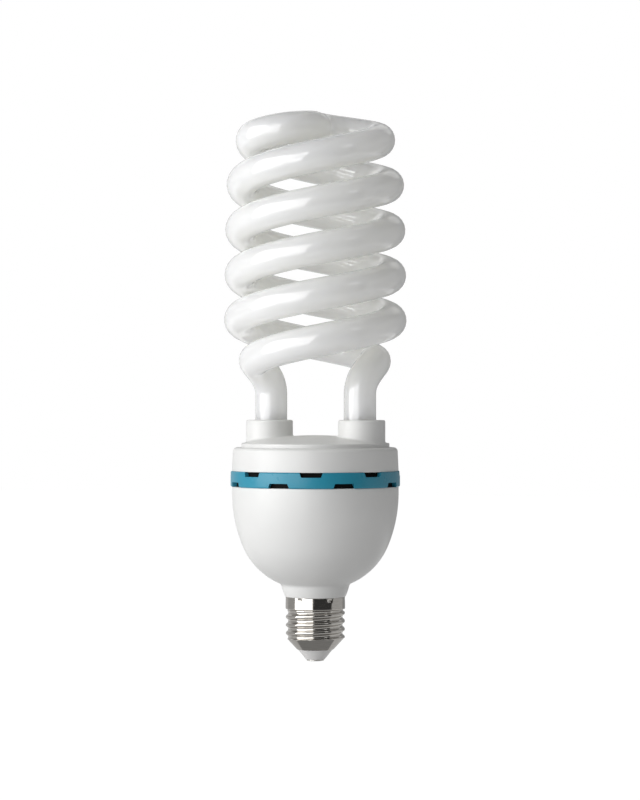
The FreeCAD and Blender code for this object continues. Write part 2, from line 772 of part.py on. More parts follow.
def makeSpiralTube():
    # The path's stations: 6 along the bridge, one each stationTurn of the coil, 3 along the bend
    turns = max(4, round(dims.coilTurn / dims.stationTurn))
    shares = [step / 6 for step in range(6)]
    shares += [1 + step / turns for step in range(turns)]
    shares += [2, 2 + 1 / 3, 2 + 2 / 3, 3]
    small = 1e-4
    points = [strandLine(share) for share in shares]
    headings = []
    for share in shares:
        before, after = max(0, share - small), min(3, share + small)
        headings.append((strandLine(after) - strandLine(before)).normalize())
    headings[-1] = Vector(0, 0, -1)
    apexHeading = Vector(headings[0].x, headings[0].y, 0).normalize()
    headings[0] = apexHeading
    strand = []
    for number in range(len(points) - 1):
        strand += twoArcs(points[number], headings[number], points[number + 1], headings[number + 1])
    foot = Vector(points[-1].x, 0, derived.tubeFoot)
    strand.append(Part.LineSegment(points[-1], foot).toShape())
    halfTurn = Placement(Vector(), Rotation(Vector(0, 0, 1), 180))
    twin = []
    for edge in strand:
        copy = edge.copy()
        copy.Placement = halfTurn
        twin.append(copy)
    path = doc.addObject("Part::Feature", "SpiralPath")
    path.Shape = Part.Wire(Part.sortEdges(strand + twin)[0])
    body = newBody("spiral_tube")
    section = newSketch(body, "TubeSection", "XY_Plane", lift="derived.tubeFoot")
    drawCircles(section, [("-derived.legOffset", "0")], "dims.tubeRadius")
    swept = body.newObject("PartDesign::AdditivePipe", "BentTube")
    swept.Profile = section
    swept.Spine = (path, [f"Edge{number}" for number in range(1, len(path.Shape.Edges) + 1)])
    doc.recompute()
    footHeight = derived.tubeFoot

    def onFootRim(edge):
        return edge.BoundBox.ZMax < footHeight + touch

    fillet(body, "SealedFeet", "dims.footRound", onFootRim)


def makeTubeCement():
    rings = []
    height = "derived.cementTop - derived.cementFoot"
    for side, across in (("Left", "-derived.legOffset"), ("Right", "derived.legOffset")):
        outer = cylinder(f"Cement{side}", "derived.cementRadius - dims.fitClearance", height,
                         across, "0", "derived.cementFoot")
        inner = cylinder(f"CementBore{side}", "dims.tubeRadius + dims.fitClearance", f"{height} + 2",
                         across, "0", "derived.cementFoot - 1")
        rings.append(cut(f"CementRing{side}", outer, inner))
    group("tube_cement", *rings)


# Ballast board and its components, which hang from its underside


def makeBoard():
    keep(cylinder("Board", "derived.boardRadius", "dims.boardThickness", up="derived.boardFoot"), "ballast_board")
    posts = []
    for across in ("-derived.legOffset", "derived.legOffset"):
        for along in ("-dims.postSpread", "dims.postSpread"):
            posts.append(box(f"Post{len(posts)}", "dims.postSide", "dims.postSide", "dims.postHeight",
                             across, along, "derived.boardTop"))
    group("wire_posts", *posts)


def makeFilamentLeads():
    strands = []
    foot = derived.tubeFoot
    for side in (-1, 1):
        for way in (-1, 1):
            across = side * derived.legOffset
            near = way * dims.filamentSpread
            far = way * (dims.postSpread - dims.postSide / 2 - dims.leadRadius)
            low = foot - dims.filamentDrop
            strands.append([
                Vector(across, near, foot),
                Vector(across, near, low + (far - near) * way),
                Vector(across, far, low),
                Vector(across, far, low - dims.postSide * 2),
            ])
    wireNode("filament_leads", strands, dims.leadRadius)


def makeElectrolytic():
    body = newBody("electrolytic_capacitor")
    groove = "dims.capacitorGroove"
    top = "derived.boardFoot"
    revolve(body, "CapacitorCan", [
        ("0", f"{top} - dims.capacitorHeight"),
        ("dims.capacitorRadius - dims.aisle / 2", f"{top} - dims.capacitorHeight"),
        ("dims.capacitorRadius", f"{top} - dims.capacitorHeight + dims.aisle / 2"),
        ("dims.capacitorRadius", f"{top} - 4 * {groove} - dims.aisle"),
        (f"dims.capacitorRadius - {groove}", f"{top} - 3 * {groove} - dims.aisle"),
        ("dims.capacitorRadius", f"{top} - 2 * {groove} - dims.aisle"),
        ("dims.capacitorRadius", top),
        ("0", top),
    ])
    bind(body, **{"Placement.Base.y": "derived.capacitorPlace"})


def makeChoke():
    middle = "derived.chokePlace"
    window = "dims.windowWidth"
    core = box("CoreBlock", "derived.chokeWidth", "dims.coreThickness", "derived.coreHeight",
               "0", middle, "derived.coreFoot")
    windowHeight = "derived.coreHeight - 2 * dims.coreLimb"
    windows = []
    for side in (-1, 1):
        across = f"({side}) * (dims.coreLimb + {window} / 2)"
        windows.append(box(f"CoreWindow{len(windows)}", window, "2 * dims.coreThickness", windowHeight,
                           across, middle, "derived.coreFoot + dims.coreLimb"))
    keep(cut("ChokeCore", core, *windows), "choke_core")
    gap = "2 * dims.fitClearance"
    bobbinInner = f"2 * dims.coreLimb + {gap}"
    bobbinDepth = f"dims.coreThickness + {gap}"
    wall = "dims.bobbinWall"
    flangeWidth = f"derived.chokeWidth - 2 * dims.coreLimb - {gap}"
    spoolHeight = f"{windowHeight} - {gap}"
    spoolFoot = "derived.coreFoot + dims.coreLimb + dims.fitClearance"
    spool = box("BobbinSpool", f"{bobbinInner} + 2 * {wall}", f"{bobbinDepth} + 2 * {wall}", spoolHeight,
                "0", middle, spoolFoot)
    lower = box("BobbinLowerFlange", flangeWidth, "dims.chokeDepth", wall, "0", middle, spoolFoot)
    upper = box("BobbinUpperFlange", flangeWidth, "dims.chokeDepth", wall,
                "0", middle, f"{spoolFoot} + {spoolHeight} - {wall}")
    tunnel = box("BobbinTunnel", bobbinInner, bobbinDepth, f"{spoolHeight} + 2",
                 "0", middle, f"{spoolFoot} - 1")
    feet = []
    footHeight = f"derived.boardFoot - ({spoolFoot}) - ({spoolHeight})"
    for side in (-1, 1):
        along = f"{middle} + ({side}) * (dims.chokeDepth / 2 - {wall})"
        feet.append(box(f"BobbinFoot{len(feet)}", flangeWidth, f"2 * {wall}", footHeight,
                        "0", along, f"{spoolFoot} + {spoolHeight}"))
    keep(cut("ChokeBobbin", fuse("BobbinBody", spool, lower, upper, *feet), tunnel), "choke_bobbin")
    windingHeight = f"{spoolHeight} - 2 * {wall} - {gap}"
    windingFoot = f"{spoolFoot} + {wall} + dims.fitClearance"
    copper = box("WindingBlock", f"{flangeWidth} - 2 * {wall}", "dims.windingDepth", windingHeight,
                 "0", middle, windingFoot)
    opening = box("WindingOpening", f"{bobbinInner} + 2 * {wall} + {gap}", f"{bobbinDepth} + 2 * {wall} + {gap}",
                  f"{windingHeight} + 2", "0", middle, f"{windingFoot} - 1")
    keep(cut("ChokeWinding", copper, opening), "choke_winding")


def makeTransistors():
    pair = []
    lift = "dims.transistorLift"
    foot = f"derived.boardFoot - {lift} - dims.transistorHeight"
    for side in (-1, 1):
        across = f"({side}) * derived.transistorPlace"
        package = box(f"Package{side + 1}", "dims.transistorThickness", "dims.transistorWidth",
                      "dims.transistorBody", across, "derived.chokePlace",
                      f"derived.boardFoot - {lift} - dims.transistorBody")
        back = f"{across} + ({side}) * (dims.transistorThickness - dims.transistorPlate) / 2"
        plate = box(f"TabPlate{side + 1}", "dims.transistorPlate", "dims.transistorWidth",
                    "dims.transistorHeight", back, "derived.chokePlace", foot)
        hole = lying(cylinder(f"TabHole{side + 1}", "dims.transistorHole", "3 * dims.transistorThickness"),
                     Vector(1, 0, 0))
        place(hole, f"{across} - 3 * dims.transistorThickness / 2", "derived.chokePlace",
              f"{foot} + dims.transistorHoleRise")
        leads = [
            box(f"TransistorLead{side + 1}{step + 1}", "2 * dims.leadRadius", "2 * dims.leadRadius",
                f"{lift} + 1", across, f"derived.chokePlace + ({step}) * dims.transistorWidth / 4",
                f"derived.boardFoot - {lift} - 1")
            for step in (-1, 0, 1)
        ]
        pair.append(cut(f"Transistor{side + 1}", fuse(f"TransistorBody{side + 1}", package, plate, *leads), hole))
    group("power_transistors", *pair)


def makeFilmCapacitors():
    for side, label in ((1, "resonant_capacitor"), (-1, "filter_capacitor")):
        body = newBody(label)
        sketch = newSketch(body, f"Film{side + 1}Outline", "XY_Plane", lift="derived.boardFoot - dims.filmHeight")
        near = f"({side}) * derived.filmPlace - dims.filmThickness / 2"
        far = f"({side}) * derived.filmPlace + dims.filmThickness / 2"
        low = "derived.capacitorPlace - dims.filmWidth / 2"
        high = "derived.capacitorPlace + dims.filmWidth / 2"
        drawOutline(sketch, [(near, low), (far, low), (far, high), (near, high)])
        pad(body, f"Film{side + 1}Block", sketch, "dims.filmHeight")
        fillet(body, f"Film{side + 1}Rounds", "dims.filmThickness / 5",
               lambda edge: edge.BoundBox.ZLength > touch)


def makeDiscs():
    # A dipped disc that stands on two leads under the board
    for side, label in ((1, "start_capacitor"), (-1, "thermistor")):
        across = f"({side}) * derived.ceramicPlace"
        centre = "derived.boardFoot - dims.ceramicRadius - dims.aisle"
        disc = lying(cylinder(f"Disc{side + 1}", "dims.ceramicRadius", "dims.ceramicThickness"), Vector(1, 0, 0))
        place(disc, f"{across} - dims.ceramicThickness / 2", "derived.capacitorPlace", centre)
        leads = [
            cylinder(f"DiscLead{side + 1}{way + 1}", "dims.leadRadius", "dims.ceramicRadius + dims.aisle",
                     across, f"derived.capacitorPlace + ({way}) * dims.ceramicRadius / 2", centre)
            for way in (-1, 1)
        ]
        keep(fuse(f"DippedDisc{side + 1}", disc, *leads), label)


def makeDriveToroid():
    middle = ("-dims.twinSpread", "derived.twinPlace")
    foot = "derived.boardFoot - dims.toroidGap - dims.toroidThickness"
    outer = cylinder("ToroidOuter", "dims.toroidRadius", "dims.toroidThickness", *middle, foot)
    bore = cylinder("ToroidBore", "dims.toroidBore", "dims.toroidThickness + 2", *middle, f"{foot} - 1")
    keep(cut("DriveToroid", outer, bore), "drive_toroid")
    gap = "dims.fitClearance"
    legs = "dims.toroidGap - dims.fitClearance"
    windings = []
    for step in range(3):
        turn = 90 + 120 * step
        loopOuter = bind(doc.addObject("Part::Box", f"LoopOuter{step}"),
                         Length=f"dims.toroidRadius - dims.toroidBore + 2 * {legs} + 2 * {gap}",
                         Width="dims.toroidBore", Height=f"dims.toroidThickness + dims.toroidGap + {legs} + {gap}")
        loopInner = bind(doc.addObject("Part::Box", f"LoopInner{step}"),
                         Length=f"dims.toroidRadius - dims.toroidBore + 2 * {gap} + dims.loopPlay",
                         Width="dims.toroidBore + 2", Height=f"dims.toroidThickness + 2 * {gap}")
        loopOuter.Placement.Rotation = Rotation(Vector(0, 0, 1), turn)
        loopInner.Placement.Rotation = Rotation(Vector(0, 0, 1), turn)
        for loop, start, width, drop in (
            (loopOuter, f"dims.toroidBore - {legs} - {gap}", "dims.toroidBore", f"{legs} + {gap}"),
            (loopInner, f"dims.toroidBore - {gap} - dims.loopPlay", "(dims.toroidBore + 2)", gap),
        ):
            place(loop,
                  f"-dims.twinSpread + ({start}) * cos({turn}) + {width} / 2 * sin({turn})",
                  f"derived.twinPlace + ({start}) * sin({turn}) - {width} / 2 * cos({turn})",
                  f"{foot} - ({drop})")
        windings.append(cut(f"DriveLoop{step}", loopOuter, loopInner))
    group("drive_windings", *windings)


def makeFilterChoke():
    body = newBody("filter_choke")
    foot = "derived.boardFoot - dims.drumHeight"
    waist = "dims.drumRadius - dims.drumFlange / 2"
    revolve(body, "DrumCore", [
        ("0", foot),
        ("dims.drumRadius", foot),
        ("dims.drumRadius", f"{foot} + dims.drumFlange"),
        (waist, f"{foot} + dims.drumFlange"),
        (waist, "derived.boardFoot - dims.drumFlange"),
        ("dims.drumRadius", "derived.boardFoot - dims.drumFlange"),
        ("dims.drumRadius", "derived.boardFoot"),
        ("0", "derived.boardFoot"),
    ])
    bind(body, **{"Placement.Base.x": "dims.twinSpread", "Placement.Base.y": "derived.twinPlace"})


def axialPart(name, radius, length, across, along, axis):
    # A small cylinder lying under the board, on a lead that bends up to the board at both ends
    centre = f"derived.boardFoot - 2 * ({radius})"
    sideways = axis.x > 0
    body = lying(cylinder(f"{name}Body", radius, length), axis)
    place(body, f"({across}) - ({length}) / 2" if sideways else across,
          along if sideways else f"({along}) - ({length}) / 2", centre)
    middle = Vector(read(across), read(along), read(centre))
    reach = axis * (read(length) / 2 + 2 * read(radius) / 2)
    rise = Vector(0, 0, 2 * read(radius))
    staple = doc.addObject("Part::Feature", f"{name}Lead")
    corners = [middle - reach + rise, middle - reach, middle + reach, middle + reach + rise]
    staple.Shape = wireShape(corners, dims.leadRadius)
    return fuse(name, body, staple)


def makeAxialParts():
    count = round(dims.diodeCount)
    diodes = []
    for number in range(count):
        across = f"({number - (count - 1) / 2}) * derived.diodeSpread"
        diodes.append(axialPart(f"Diode{number}", "dims.diodeRadius", "dims.diodeLength",
                                across, "derived.diodePlace", Vector(1, 0, 0)))
    group("rectifier_diodes", *diodes)
    resistors = []
    for side in (-1, 1):
        for row in (0, 1):
            along = f"derived.resistorStart + {row} * derived.resistorSpread"
            resistors.append(axialPart(f"Resistor{side + 1}{row}", "dims.resistorRadius", "dims.resistorLength",
                                       f"({side}) * derived.resistorPlace", along, Vector(0, 1, 0)))
    group("board_resistors", *resistors)


def makeFuseAndWires():
    body = newBody("fuse_resistor")
    foot = "derived.insulatorTop + dims.fuseLift"
    revolve(body, "FuseBody", [
        ("0", foot),
        ("dims.fuseRadius", foot),
        ("dims.fuseRadius", f"{foot} + dims.fuseCap"),
        ("dims.fuseWaist", f"{foot} + dims.fuseCap"),
        ("dims.fuseWaist", f"{foot} + dims.fuseLength - dims.fuseCap"),
        ("dims.fuseRadius", f"{foot} + dims.fuseLength - dims.fuseCap"),
        ("dims.fuseRadius", f"{foot} + dims.fuseLength"),
        ("0", f"{foot} + dims.fuseLength"),
    ])
    fuseFoot = derived.insulatorTop + dims.fuseLift
    fuseTop = fuseFoot + dims.fuseLength
    rise = derived.boardFoot - fuseTop
    sway = dims.wireSlack
    wireNode("live_wire", [
        [
            Vector(0, 0, derived.boardFoot),
            Vector(0, 0, fuseTop + 7 * rise / 8),
            Vector(sway, 0, fuseTop + 5 * rise / 8),
            Vector(-sway, 0, fuseTop + 3 * rise / 8),
            Vector(0, 0, fuseTop + rise / 8),
            Vector(0, 0, fuseTop),
        ],
        [
            Vector(0, 0, fuseFoot),
            Vector(0, 0, dims.contactWeb + dims.solderDepth),
        ],
    ], dims.wireRadius)
    beside = derived.skirtBore - 1.5 * dims.wireRadius
    shellFace = derived.capInner - dims.wireRadius
    clampHeight = derived.insulatorTop + 4.5 * dims.wireRadius
    inBoard = beside - sway
    wireNode("neutral_wire", [[
        Vector(-inBoard, 0, derived.boardFoot),
        Vector(-inBoard, 0, derived.boardFoot - rise / 3),
        Vector(-beside, 0, derived.innerFootHeight + sway * 2),
        Vector(-beside, 0, clampHeight + 3 * dims.wireRadius),
        Vector(-shellFace, 0, clampHeight),
    ]], dims.wireRadius)


makeScrewShell()
makeCapInsulator()
makeCentreContact()
makeContactSolder()
makeLowerHousing()
makeVentRing()
makeTopCover()
makeSpiralTube()
makeTubeCement()
makeBoard()
makeFilamentLeads()
makeElectrolytic()
makeChoke()
makeTransistors()
makeFilmCapacitors()
makeDiscs()
makeDriveToroid()
makeFilterChoke()
makeAxialParts()
makeFuseAndWires()
doc.recompute()

# Nothing is written unless every object is sound.
for thing in doc.Objects:
    faults = [word for word in thing.State if word in ("Invalid", "Error")]
    if faults:
        raise RuntimeError(f"{thing.Label} is {faults}")
for node in nodes:
    if node.Shape.isNull() or not node.Shape.isValid() or not node.Shape.Solids:
        raise RuntimeError(f"{node.Label} has no sound solid")

os.makedirs("parts", exist_ok=True)
for node in nodes:
    node.Shape.exportStep(f"parts/{node.Label}.step")
    print(f"{node.Label}: {len(node.Shape.Solids)} solid, {node.Shape.Volume / 1000:.2f} cm3")
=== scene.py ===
import math

import bmesh
import bpy
from mathutils import Matrix, Vector


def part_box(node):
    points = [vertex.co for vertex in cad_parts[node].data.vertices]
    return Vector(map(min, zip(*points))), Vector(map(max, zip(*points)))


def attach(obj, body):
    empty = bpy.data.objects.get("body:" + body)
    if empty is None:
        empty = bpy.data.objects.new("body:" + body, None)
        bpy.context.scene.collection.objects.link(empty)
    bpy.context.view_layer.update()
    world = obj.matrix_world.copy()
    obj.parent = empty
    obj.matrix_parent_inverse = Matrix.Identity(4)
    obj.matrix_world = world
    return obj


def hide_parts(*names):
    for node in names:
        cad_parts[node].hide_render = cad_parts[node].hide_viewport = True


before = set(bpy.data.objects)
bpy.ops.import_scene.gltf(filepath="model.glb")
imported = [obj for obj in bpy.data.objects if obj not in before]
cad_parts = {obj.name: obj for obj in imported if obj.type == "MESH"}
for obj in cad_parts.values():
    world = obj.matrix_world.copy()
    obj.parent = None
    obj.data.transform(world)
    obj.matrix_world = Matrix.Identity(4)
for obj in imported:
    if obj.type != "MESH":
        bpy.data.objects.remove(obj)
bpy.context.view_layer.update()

mm = 0.001
boxes = {node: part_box(node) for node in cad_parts}
upAxis = Vector((0, 0, 1))
centre = Vector((0, 0, 0))
weld = 0.001 * mm  # points closer than this are merged
hair = 0.02 * mm  # a point this close to a circle or a level counts as on it
crease = 35  # degrees between faces, from which an edge shows sharp


def foot(node):
    return boxes[node][0].z


def top(node):
    return boxes[node][1].z


def halfWidth(node):
    return boxes[node][1].x


# Mesh helpers

def smoothFaces(mesh, sharpFrom=crease):
    mesh.polygons.foreach_set("use_smooth", [True] * len(mesh.polygons))
    mesh.set_sharp_from_angle(angle=math.radians(sharpFrom))


def makePiece(name, bm, sharpFrom=crease):
    mesh = bpy.data.meshes.new(name)
    bm.to_mesh(mesh)
    bm.free()
    smoothFaces(mesh, sharpFrom)
    piece = bpy.data.objects.new(name, mesh)
    bpy.context.scene.collection.objects.link(piece)
    return piece


def arcBetween(start, end, radius, side, count):
    # Points after start up to end; the arc's centre lies left (side 1) or right (side -1) of the way
    start, end = Vector(start), Vector(end)
    half = (end - start) / 2
    normal = Vector((-half.y, half.x)).normalized() * side
    middle = start + half + normal * math.sqrt(radius ** 2 - half.length_squared)
    first = start - middle
    turn = first.angle_signed(end - middle)
    points = []
    for step in range(1, count + 1):
        spoke = first.copy()
        spoke.rotate(Matrix.Rotation(-turn * step / count, 2))
        points.append(tuple(middle + spoke))
    return points


def spinProfile(points, steps, closed=True, at=(0, 0)):
    # A profile of (radius, height) turned once round a vertical axis
    bm = bmesh.new()
    verts = [bm.verts.new((at[0] + radius, at[1], height)) for radius, height in points]
    pairs = list(zip(verts, verts[1:])) + ([(verts[-1], verts[0])] if closed else [])
    edges = [bm.edges.new(pair) for pair in pairs]
    bmesh.ops.spin(bm, geom=verts + edges, cent=(at[0], at[1], 0), axis=upAxis,
                   angle=math.tau, steps=steps, use_merge=True)
    bmesh.ops.remove_doubles(bm, verts=bm.verts, dist=weld)
    bmesh.ops.recalc_face_normals(bm, faces=bm.faces)
    return bm


def bevelRing(bm, radius, height, offset, segments=3, at=(0, 0)):
    # Rounds the circle of edges at this radius and height
    def onRing(vert):
        reach = math.hypot(vert.co.x - at[0], vert.co.y - at[1])
        return abs(reach - radius) < hair and abs(vert.co.z - height) < hair
    circle = [edge for edge in bm.edges if all(onRing(vert) for vert in edge.verts)]
    bmesh.ops.bevel(bm, geom=circle, offset=offset, segments=segments, profile=0.5,
                    affect="EDGES", material=-1)


def prism(bm, corners, start, end, turn):
    # A flat outline of (across, up) at depth start, extruded along Y to end and turned about the axis
    verts = [bm.verts.new((across, start, up)) for across, up in corners]
    face = bm.faces.new(verts)
    made = bmesh.ops.extrude_face_region(bm, geom=[face])
    grown = [item for item in made["geom"] if isinstance(item, bmesh.types.BMVert)]
    bmesh.ops.translate(bm, verts=grown, vec=(0, end - start, 0))
    bmesh.ops.rotate(bm, verts=verts + grown, cent=centre, matrix=Matrix.Rotation(turn, 3, "Z"))


def carve(piece, cutter, operation="DIFFERENCE"):
    # Boolean with a mesh that is then thrown away
    change = piece.modifiers.new("carve", "BOOLEAN")
    change.operation = operation
    change.solver = "MANIFOLD"
    change.object = cutter
    graph = bpy.context.evaluated_depsgraph_get()
    mesh = bpy.data.meshes.new_from_object(piece.evaluated_get(graph))
    piece.modifiers.clear()
    old = piece.data
    piece.data = mesh
    mesh.name = piece.name
    bpy.data.meshes.remove(old)
    bpy.data.meshes.remove(cutter.data)
    smoothFaces(mesh)


def smoothStep(value, start, end):
    share = min(1, max(0, (value - start) / (end - start)))
    return share * share * (3 - 2 * share)


# Spiral tube

tube = {
    "radius": 7.2 * mm,
    "coilRadius": 33.0 * mm,
    "pitch": 39.8 * mm,
    "turn": 880,
    "spread": 0.6 * mm,
    "topInset": 4.7 * mm,
    "topTurn": 360,
    "topRise": 1.2 * mm,
    "footInset": 5.3 * mm,
    "footTurn": 180,
    "legOffset": 21.1 * mm,
    "legStraight": 11.6 * mm,
    "bendRise": 15.2 * mm,
    "bendTurn": 40,
    "bendLowerPull": 9.0 * mm,
    "bendUpperPull": 6.0 * mm,
    "bridgeRise": 5.2 * mm,
    "bridgeTurn": 78,
    "bridgeMiddlePull": 15.5 * mm,
    "bridgeEndPull": 12.0 * mm,
    "footRound": 2.4 * mm,
    "footSteps": 5,
    "stations": (26, 300, 22, 6),  # on the bridge, the coil, the bend and the leg
    "roundness": 10,
    "nudge": 0.01,  # degrees, for the coil's heading
    "crease": 60,
}


def bezierPoint(start, startPull, endPull, end, share):
    rest = 1 - share
    return (start * rest ** 3 + startPull * (3 * rest ** 2 * share)
            + endPull * (3 * rest * share ** 2) + end * share ** 3)


def coilPoint(turned):
    # A point of the first strand, turned so many degrees down from its top
    inset = tube["topInset"] * max(0, 1 - turned / tube["topTurn"]) ** 3
    evenTurn = tube["turn"] - tube["footTurn"] - tube["topTurn"]
    spread = tube["spread"] * min(1, max(0, (turned - tube["topTurn"]) / evenTurn))
    drawn = max(0, 1 - (tube["turn"] - turned) / tube["footTurn"])
    radius = tube["coilRadius"] - inset + spread - tube["footInset"] * drawn ** 2
    angle = math.radians(180 + tube["bendTurn"] + tube["turn"] - turned)
    start = top("top_cover") + tube["legStraight"] + tube["bendRise"]
    height = start + tube["pitch"] * (tube["turn"] - turned) / 360
    height += tube["topRise"] * (1 - turned / tube["turn"]) ** 2
    return Vector((radius * math.cos(angle), radius * math.sin(angle), height))


def coilHeading(turned):
    return (coilPoint(turned + tube["nudge"]) - coilPoint(turned - tube["nudge"])).normalized()


def strandPoints():
    # From the apex of the bridge down the coil and the bend to the foot of the leg
    bridgeSteps, coilSteps, bendSteps, legSteps = tube["stations"]
    head, end = coilPoint(0), coilPoint(tube["turn"])
    apex = Vector((0, 0, head.z + tube["bridgeRise"]))
    turn = math.radians(180 + tube["bendTurn"] + tube["turn"] + tube["bridgeTurn"])
    apexPull = apex + Vector((math.cos(turn), math.sin(turn), 0)) * tube["bridgeMiddlePull"]
    headPull = head - coilHeading(0) * tube["bridgeEndPull"]
    leg = Vector((-tube["legOffset"], 0, top("top_cover") + tube["legStraight"]))
    legPull = leg + upAxis * tube["bendLowerPull"]
    endPull = end + coilHeading(tube["turn"]) * tube["bendUpperPull"]
    sole = Vector((leg.x, 0, foot("spiral_tube")))
    points = [bezierPoint(apex, apexPull, headPull, head, step / bridgeSteps)
              for step in range(bridgeSteps)]
    points += [coilPoint(tube["turn"] * step / coilSteps) for step in range(coilSteps)]
    points += [bezierPoint(end, endPull, legPull, leg, step / bendSteps) for step in range(bendSteps)]
    points += [leg.lerp(sole, step / legSteps) for step in range(legSteps + 1)]
    return points


def makeSpiralTube():
    strand = strandPoints()
    twin = [Vector((-point.x, -point.y, point.z)) for point in strand[1:]]
    line = twin[::-1] + strand
    curve = bpy.data.curves.new("spiralLine", "CURVE")
    curve.dimensions = "3D"
    spline = curve.splines.new("POLY")
    spline.points.add(len(line) - 1)
    for place, point in zip(spline.points, line):
        place.co = (*point, 1)
    curve.bevel_depth = tube["radius"]
    curve.bevel_resolution = tube["roundness"]
    curve.use_fill_caps = True
    bent = bpy.data.objects.new("spiralLine", curve)
    bpy.context.scene.collection.objects.link(bent)
    graph = bpy.context.evaluated_depsgraph_get()
    mesh = bpy.data.meshes.new_from_object(bent.evaluated_get(graph))
    bpy.data.objects.remove(bent)
    bm = bmesh.new()
    bm.from_mesh(mesh)
    bpy.data.meshes.remove(mesh)
    bmesh.ops.remove_doubles(bm, verts=bm.verts, dist=weld)
    bmesh.ops.recalc_face_normals(bm, faces=bm.faces)
    ends = [face for face in bm.faces if len(face.verts) > 4]  # the flat end of each leg
    rims = list({edge for face in ends for edge in face.edges})
    bmesh.ops.bevel(bm, geom=rims, offset=tube["footRound"], segments=tube["footSteps"],
                    profile=0.5, affect="EDGES", material=-1)
    piece = makePiece("spiral_tube_glass", bm, tube["crease"])
    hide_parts("spiral_tube")
    return piece


# Screw cap: rolled shell, insulator and end contact

cap = {
    "footRadius": 8.3 * mm,
    "rimRadius": 13.3 * mm,
    "crest": 13.2 * mm,
    "root": 12.12 * mm,
    "arc": 1.025 * mm,
    "pitch": 3.629 * mm,
    "phaseAngle": 20,
    "phaseHeight": 14.1 * mm,
    "grooveRadius": 12.35 * mm,
    "grooveHeight": 22.7 * mm,
    "grooveSlope": (-0.9 * mm, -0.2 * mm),  # where the thread runs out, from the groove's height
    "rimSlope": (0.1 * mm, 0.6 * mm),  # where the groove opens to the rim
    "coneHeight": 5.3 * mm,
    "coneBlend": 0.35 * mm,
    "wall": 0.25 * mm,
    "rowHeight": 0.19 * mm,
    "steps": 168,
    "footHem": 0.35 * mm,
    "rimRound": 0.2 * mm,
    "crease": 50,
    "dentHeight": 27.5 * mm,
    "dentDepth": 0.55 * mm,
    "dentSize": 0.75 * mm,
    "dentCount": 6,
    "dentTurn": -101,
}


def threadRadius(angle, height):
    # The rolled thread's profile: a crest arc and a root arc of one radius, joined halfway
    pitch, arc = cap["pitch"], cap["arc"]
    lift = height - cap["phaseHeight"] - pitch * (angle - math.radians(cap["phaseAngle"])) / math.tau
    away = (lift / pitch + 0.5) % 1 - 0.5
    if abs(away) < 0.25:
        return cap["crest"] - arc + math.sqrt(arc ** 2 - (away * pitch) ** 2)
    away = 0.5 - abs(away)
    return cap["root"] + arc - math.sqrt(arc ** 2 - (away * pitch) ** 2)


def shellRadius(angle, height):
    # From the foot up: the cone blended into the thread, a plain groove and the rim with its dents
    bottom = foot("screw_shell")
    slope = (cap["crest"] - cap["footRadius"]) / cap["coneHeight"]
    cone = cap["footRadius"] + (height - bottom) * slope
    thread = threadRadius(angle, height)
    blend = cap["coneBlend"]
    share = min(1, max(0, 0.5 + 0.5 * (thread - cone) / blend))
    radius = thread + (cone - thread) * share - blend * share * (1 - share) / 2
    above = height - cap["grooveHeight"]
    radius += (cap["grooveRadius"] - radius) * smoothStep(above, *cap["grooveSlope"])
    radius += (cap["rimRadius"] - radius) * smoothStep(above, *cap["rimSlope"])
    step = math.tau / cap["dentCount"]
    around = (angle - math.radians(cap["dentTurn"]) + step / 2) % step - step / 2
    across = around * cap["rimRadius"] / cap["dentSize"]
    along = (height - cap["dentHeight"]) / cap["dentSize"]
    return radius - cap["dentDepth"] * math.exp(-across ** 2 - along ** 2)


def makeScrewShell():
    bottom, rim = foot("screw_shell"), top("screw_shell")
    rows = round((rim - bottom) / cap["rowHeight"])
    heights = [bottom + (rim - bottom) * row / rows for row in range(rows + 1)]
    profile = [(cap["footRadius"] - cap["footHem"], bottom + cap["footHem"] / 4)]
    profile += [(cap["rimRadius"], height) for height in heights]
    profile += [(cap["rimRadius"] - cap["footHem"], rim)]
    bm = spinProfile(profile, cap["steps"], closed=False)
    for vert in bm.verts:
        reach = math.hypot(vert.co.x, vert.co.y)
        if reach > cap["rimRadius"] - cap["footHem"] / 2:
            wanted = shellRadius(math.atan2(vert.co.y, vert.co.x), vert.co.z)
            vert.co.x *= wanted / reach
            vert.co.y *= wanted / reach
    bevelRing(bm, shellRadius(0, rim), rim, cap["rimRound"])
    bmesh.ops.recalc_face_normals(bm, faces=bm.faces)
    outerFace = max(bm.faces, key=lambda face: face.calc_center_median().x)
    if outerFace.normal.x < 0:
        bmesh.ops.reverse_faces(bm, faces=bm.faces)
    piece = makePiece("screw_shell_rolled", bm, cap["crease"])
    wall = piece.modifiers.new("sheet", "SOLIDIFY")
    wall.thickness = cap["wall"]
    wall.offset = -1
    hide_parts("screw_shell")
    return piece


insulator = {
    "bottomRadius": 4.2 * mm,
    "coneRadius": 7.85 * mm,
    "bore": 1.25 * mm,
    "footRound": 0.45 * mm,
    "ridge": 0.25 * mm,
    "ridgeDrop": 0.75 * mm,
    "inset": 0.45 * mm,
    "steps": 128,
}


def makeInsulator():
    bottom, high = foot("cap_insulator"), top("cap_insulator")
    shellFoot = foot("screw_shell")
    cone, rest = insulator["coneRadius"], insulator["bottomRadius"]
    stepHeight = shellFoot - insulator["ridgeDrop"]
    stepRadius = rest + (cone - rest) * (stepHeight - bottom) / (shellFoot - bottom)
    profile = [
        (insulator["bore"], bottom),
        (rest, bottom),
        (stepRadius, stepHeight),
        (stepRadius + insulator["ridge"], stepHeight + insulator["ridge"]),
        (cone, shellFoot),
        (halfWidth("cap_insulator") - insulator["inset"], high),
        (insulator["bore"], high),
    ]
    bm = spinProfile(profile, insulator["steps"])
    bevelRing(bm, rest, bottom, insulator["footRound"], 4)
    piece = makePiece("cap_insulator_cone", bm)
    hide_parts("cap_insulator")
    return piece


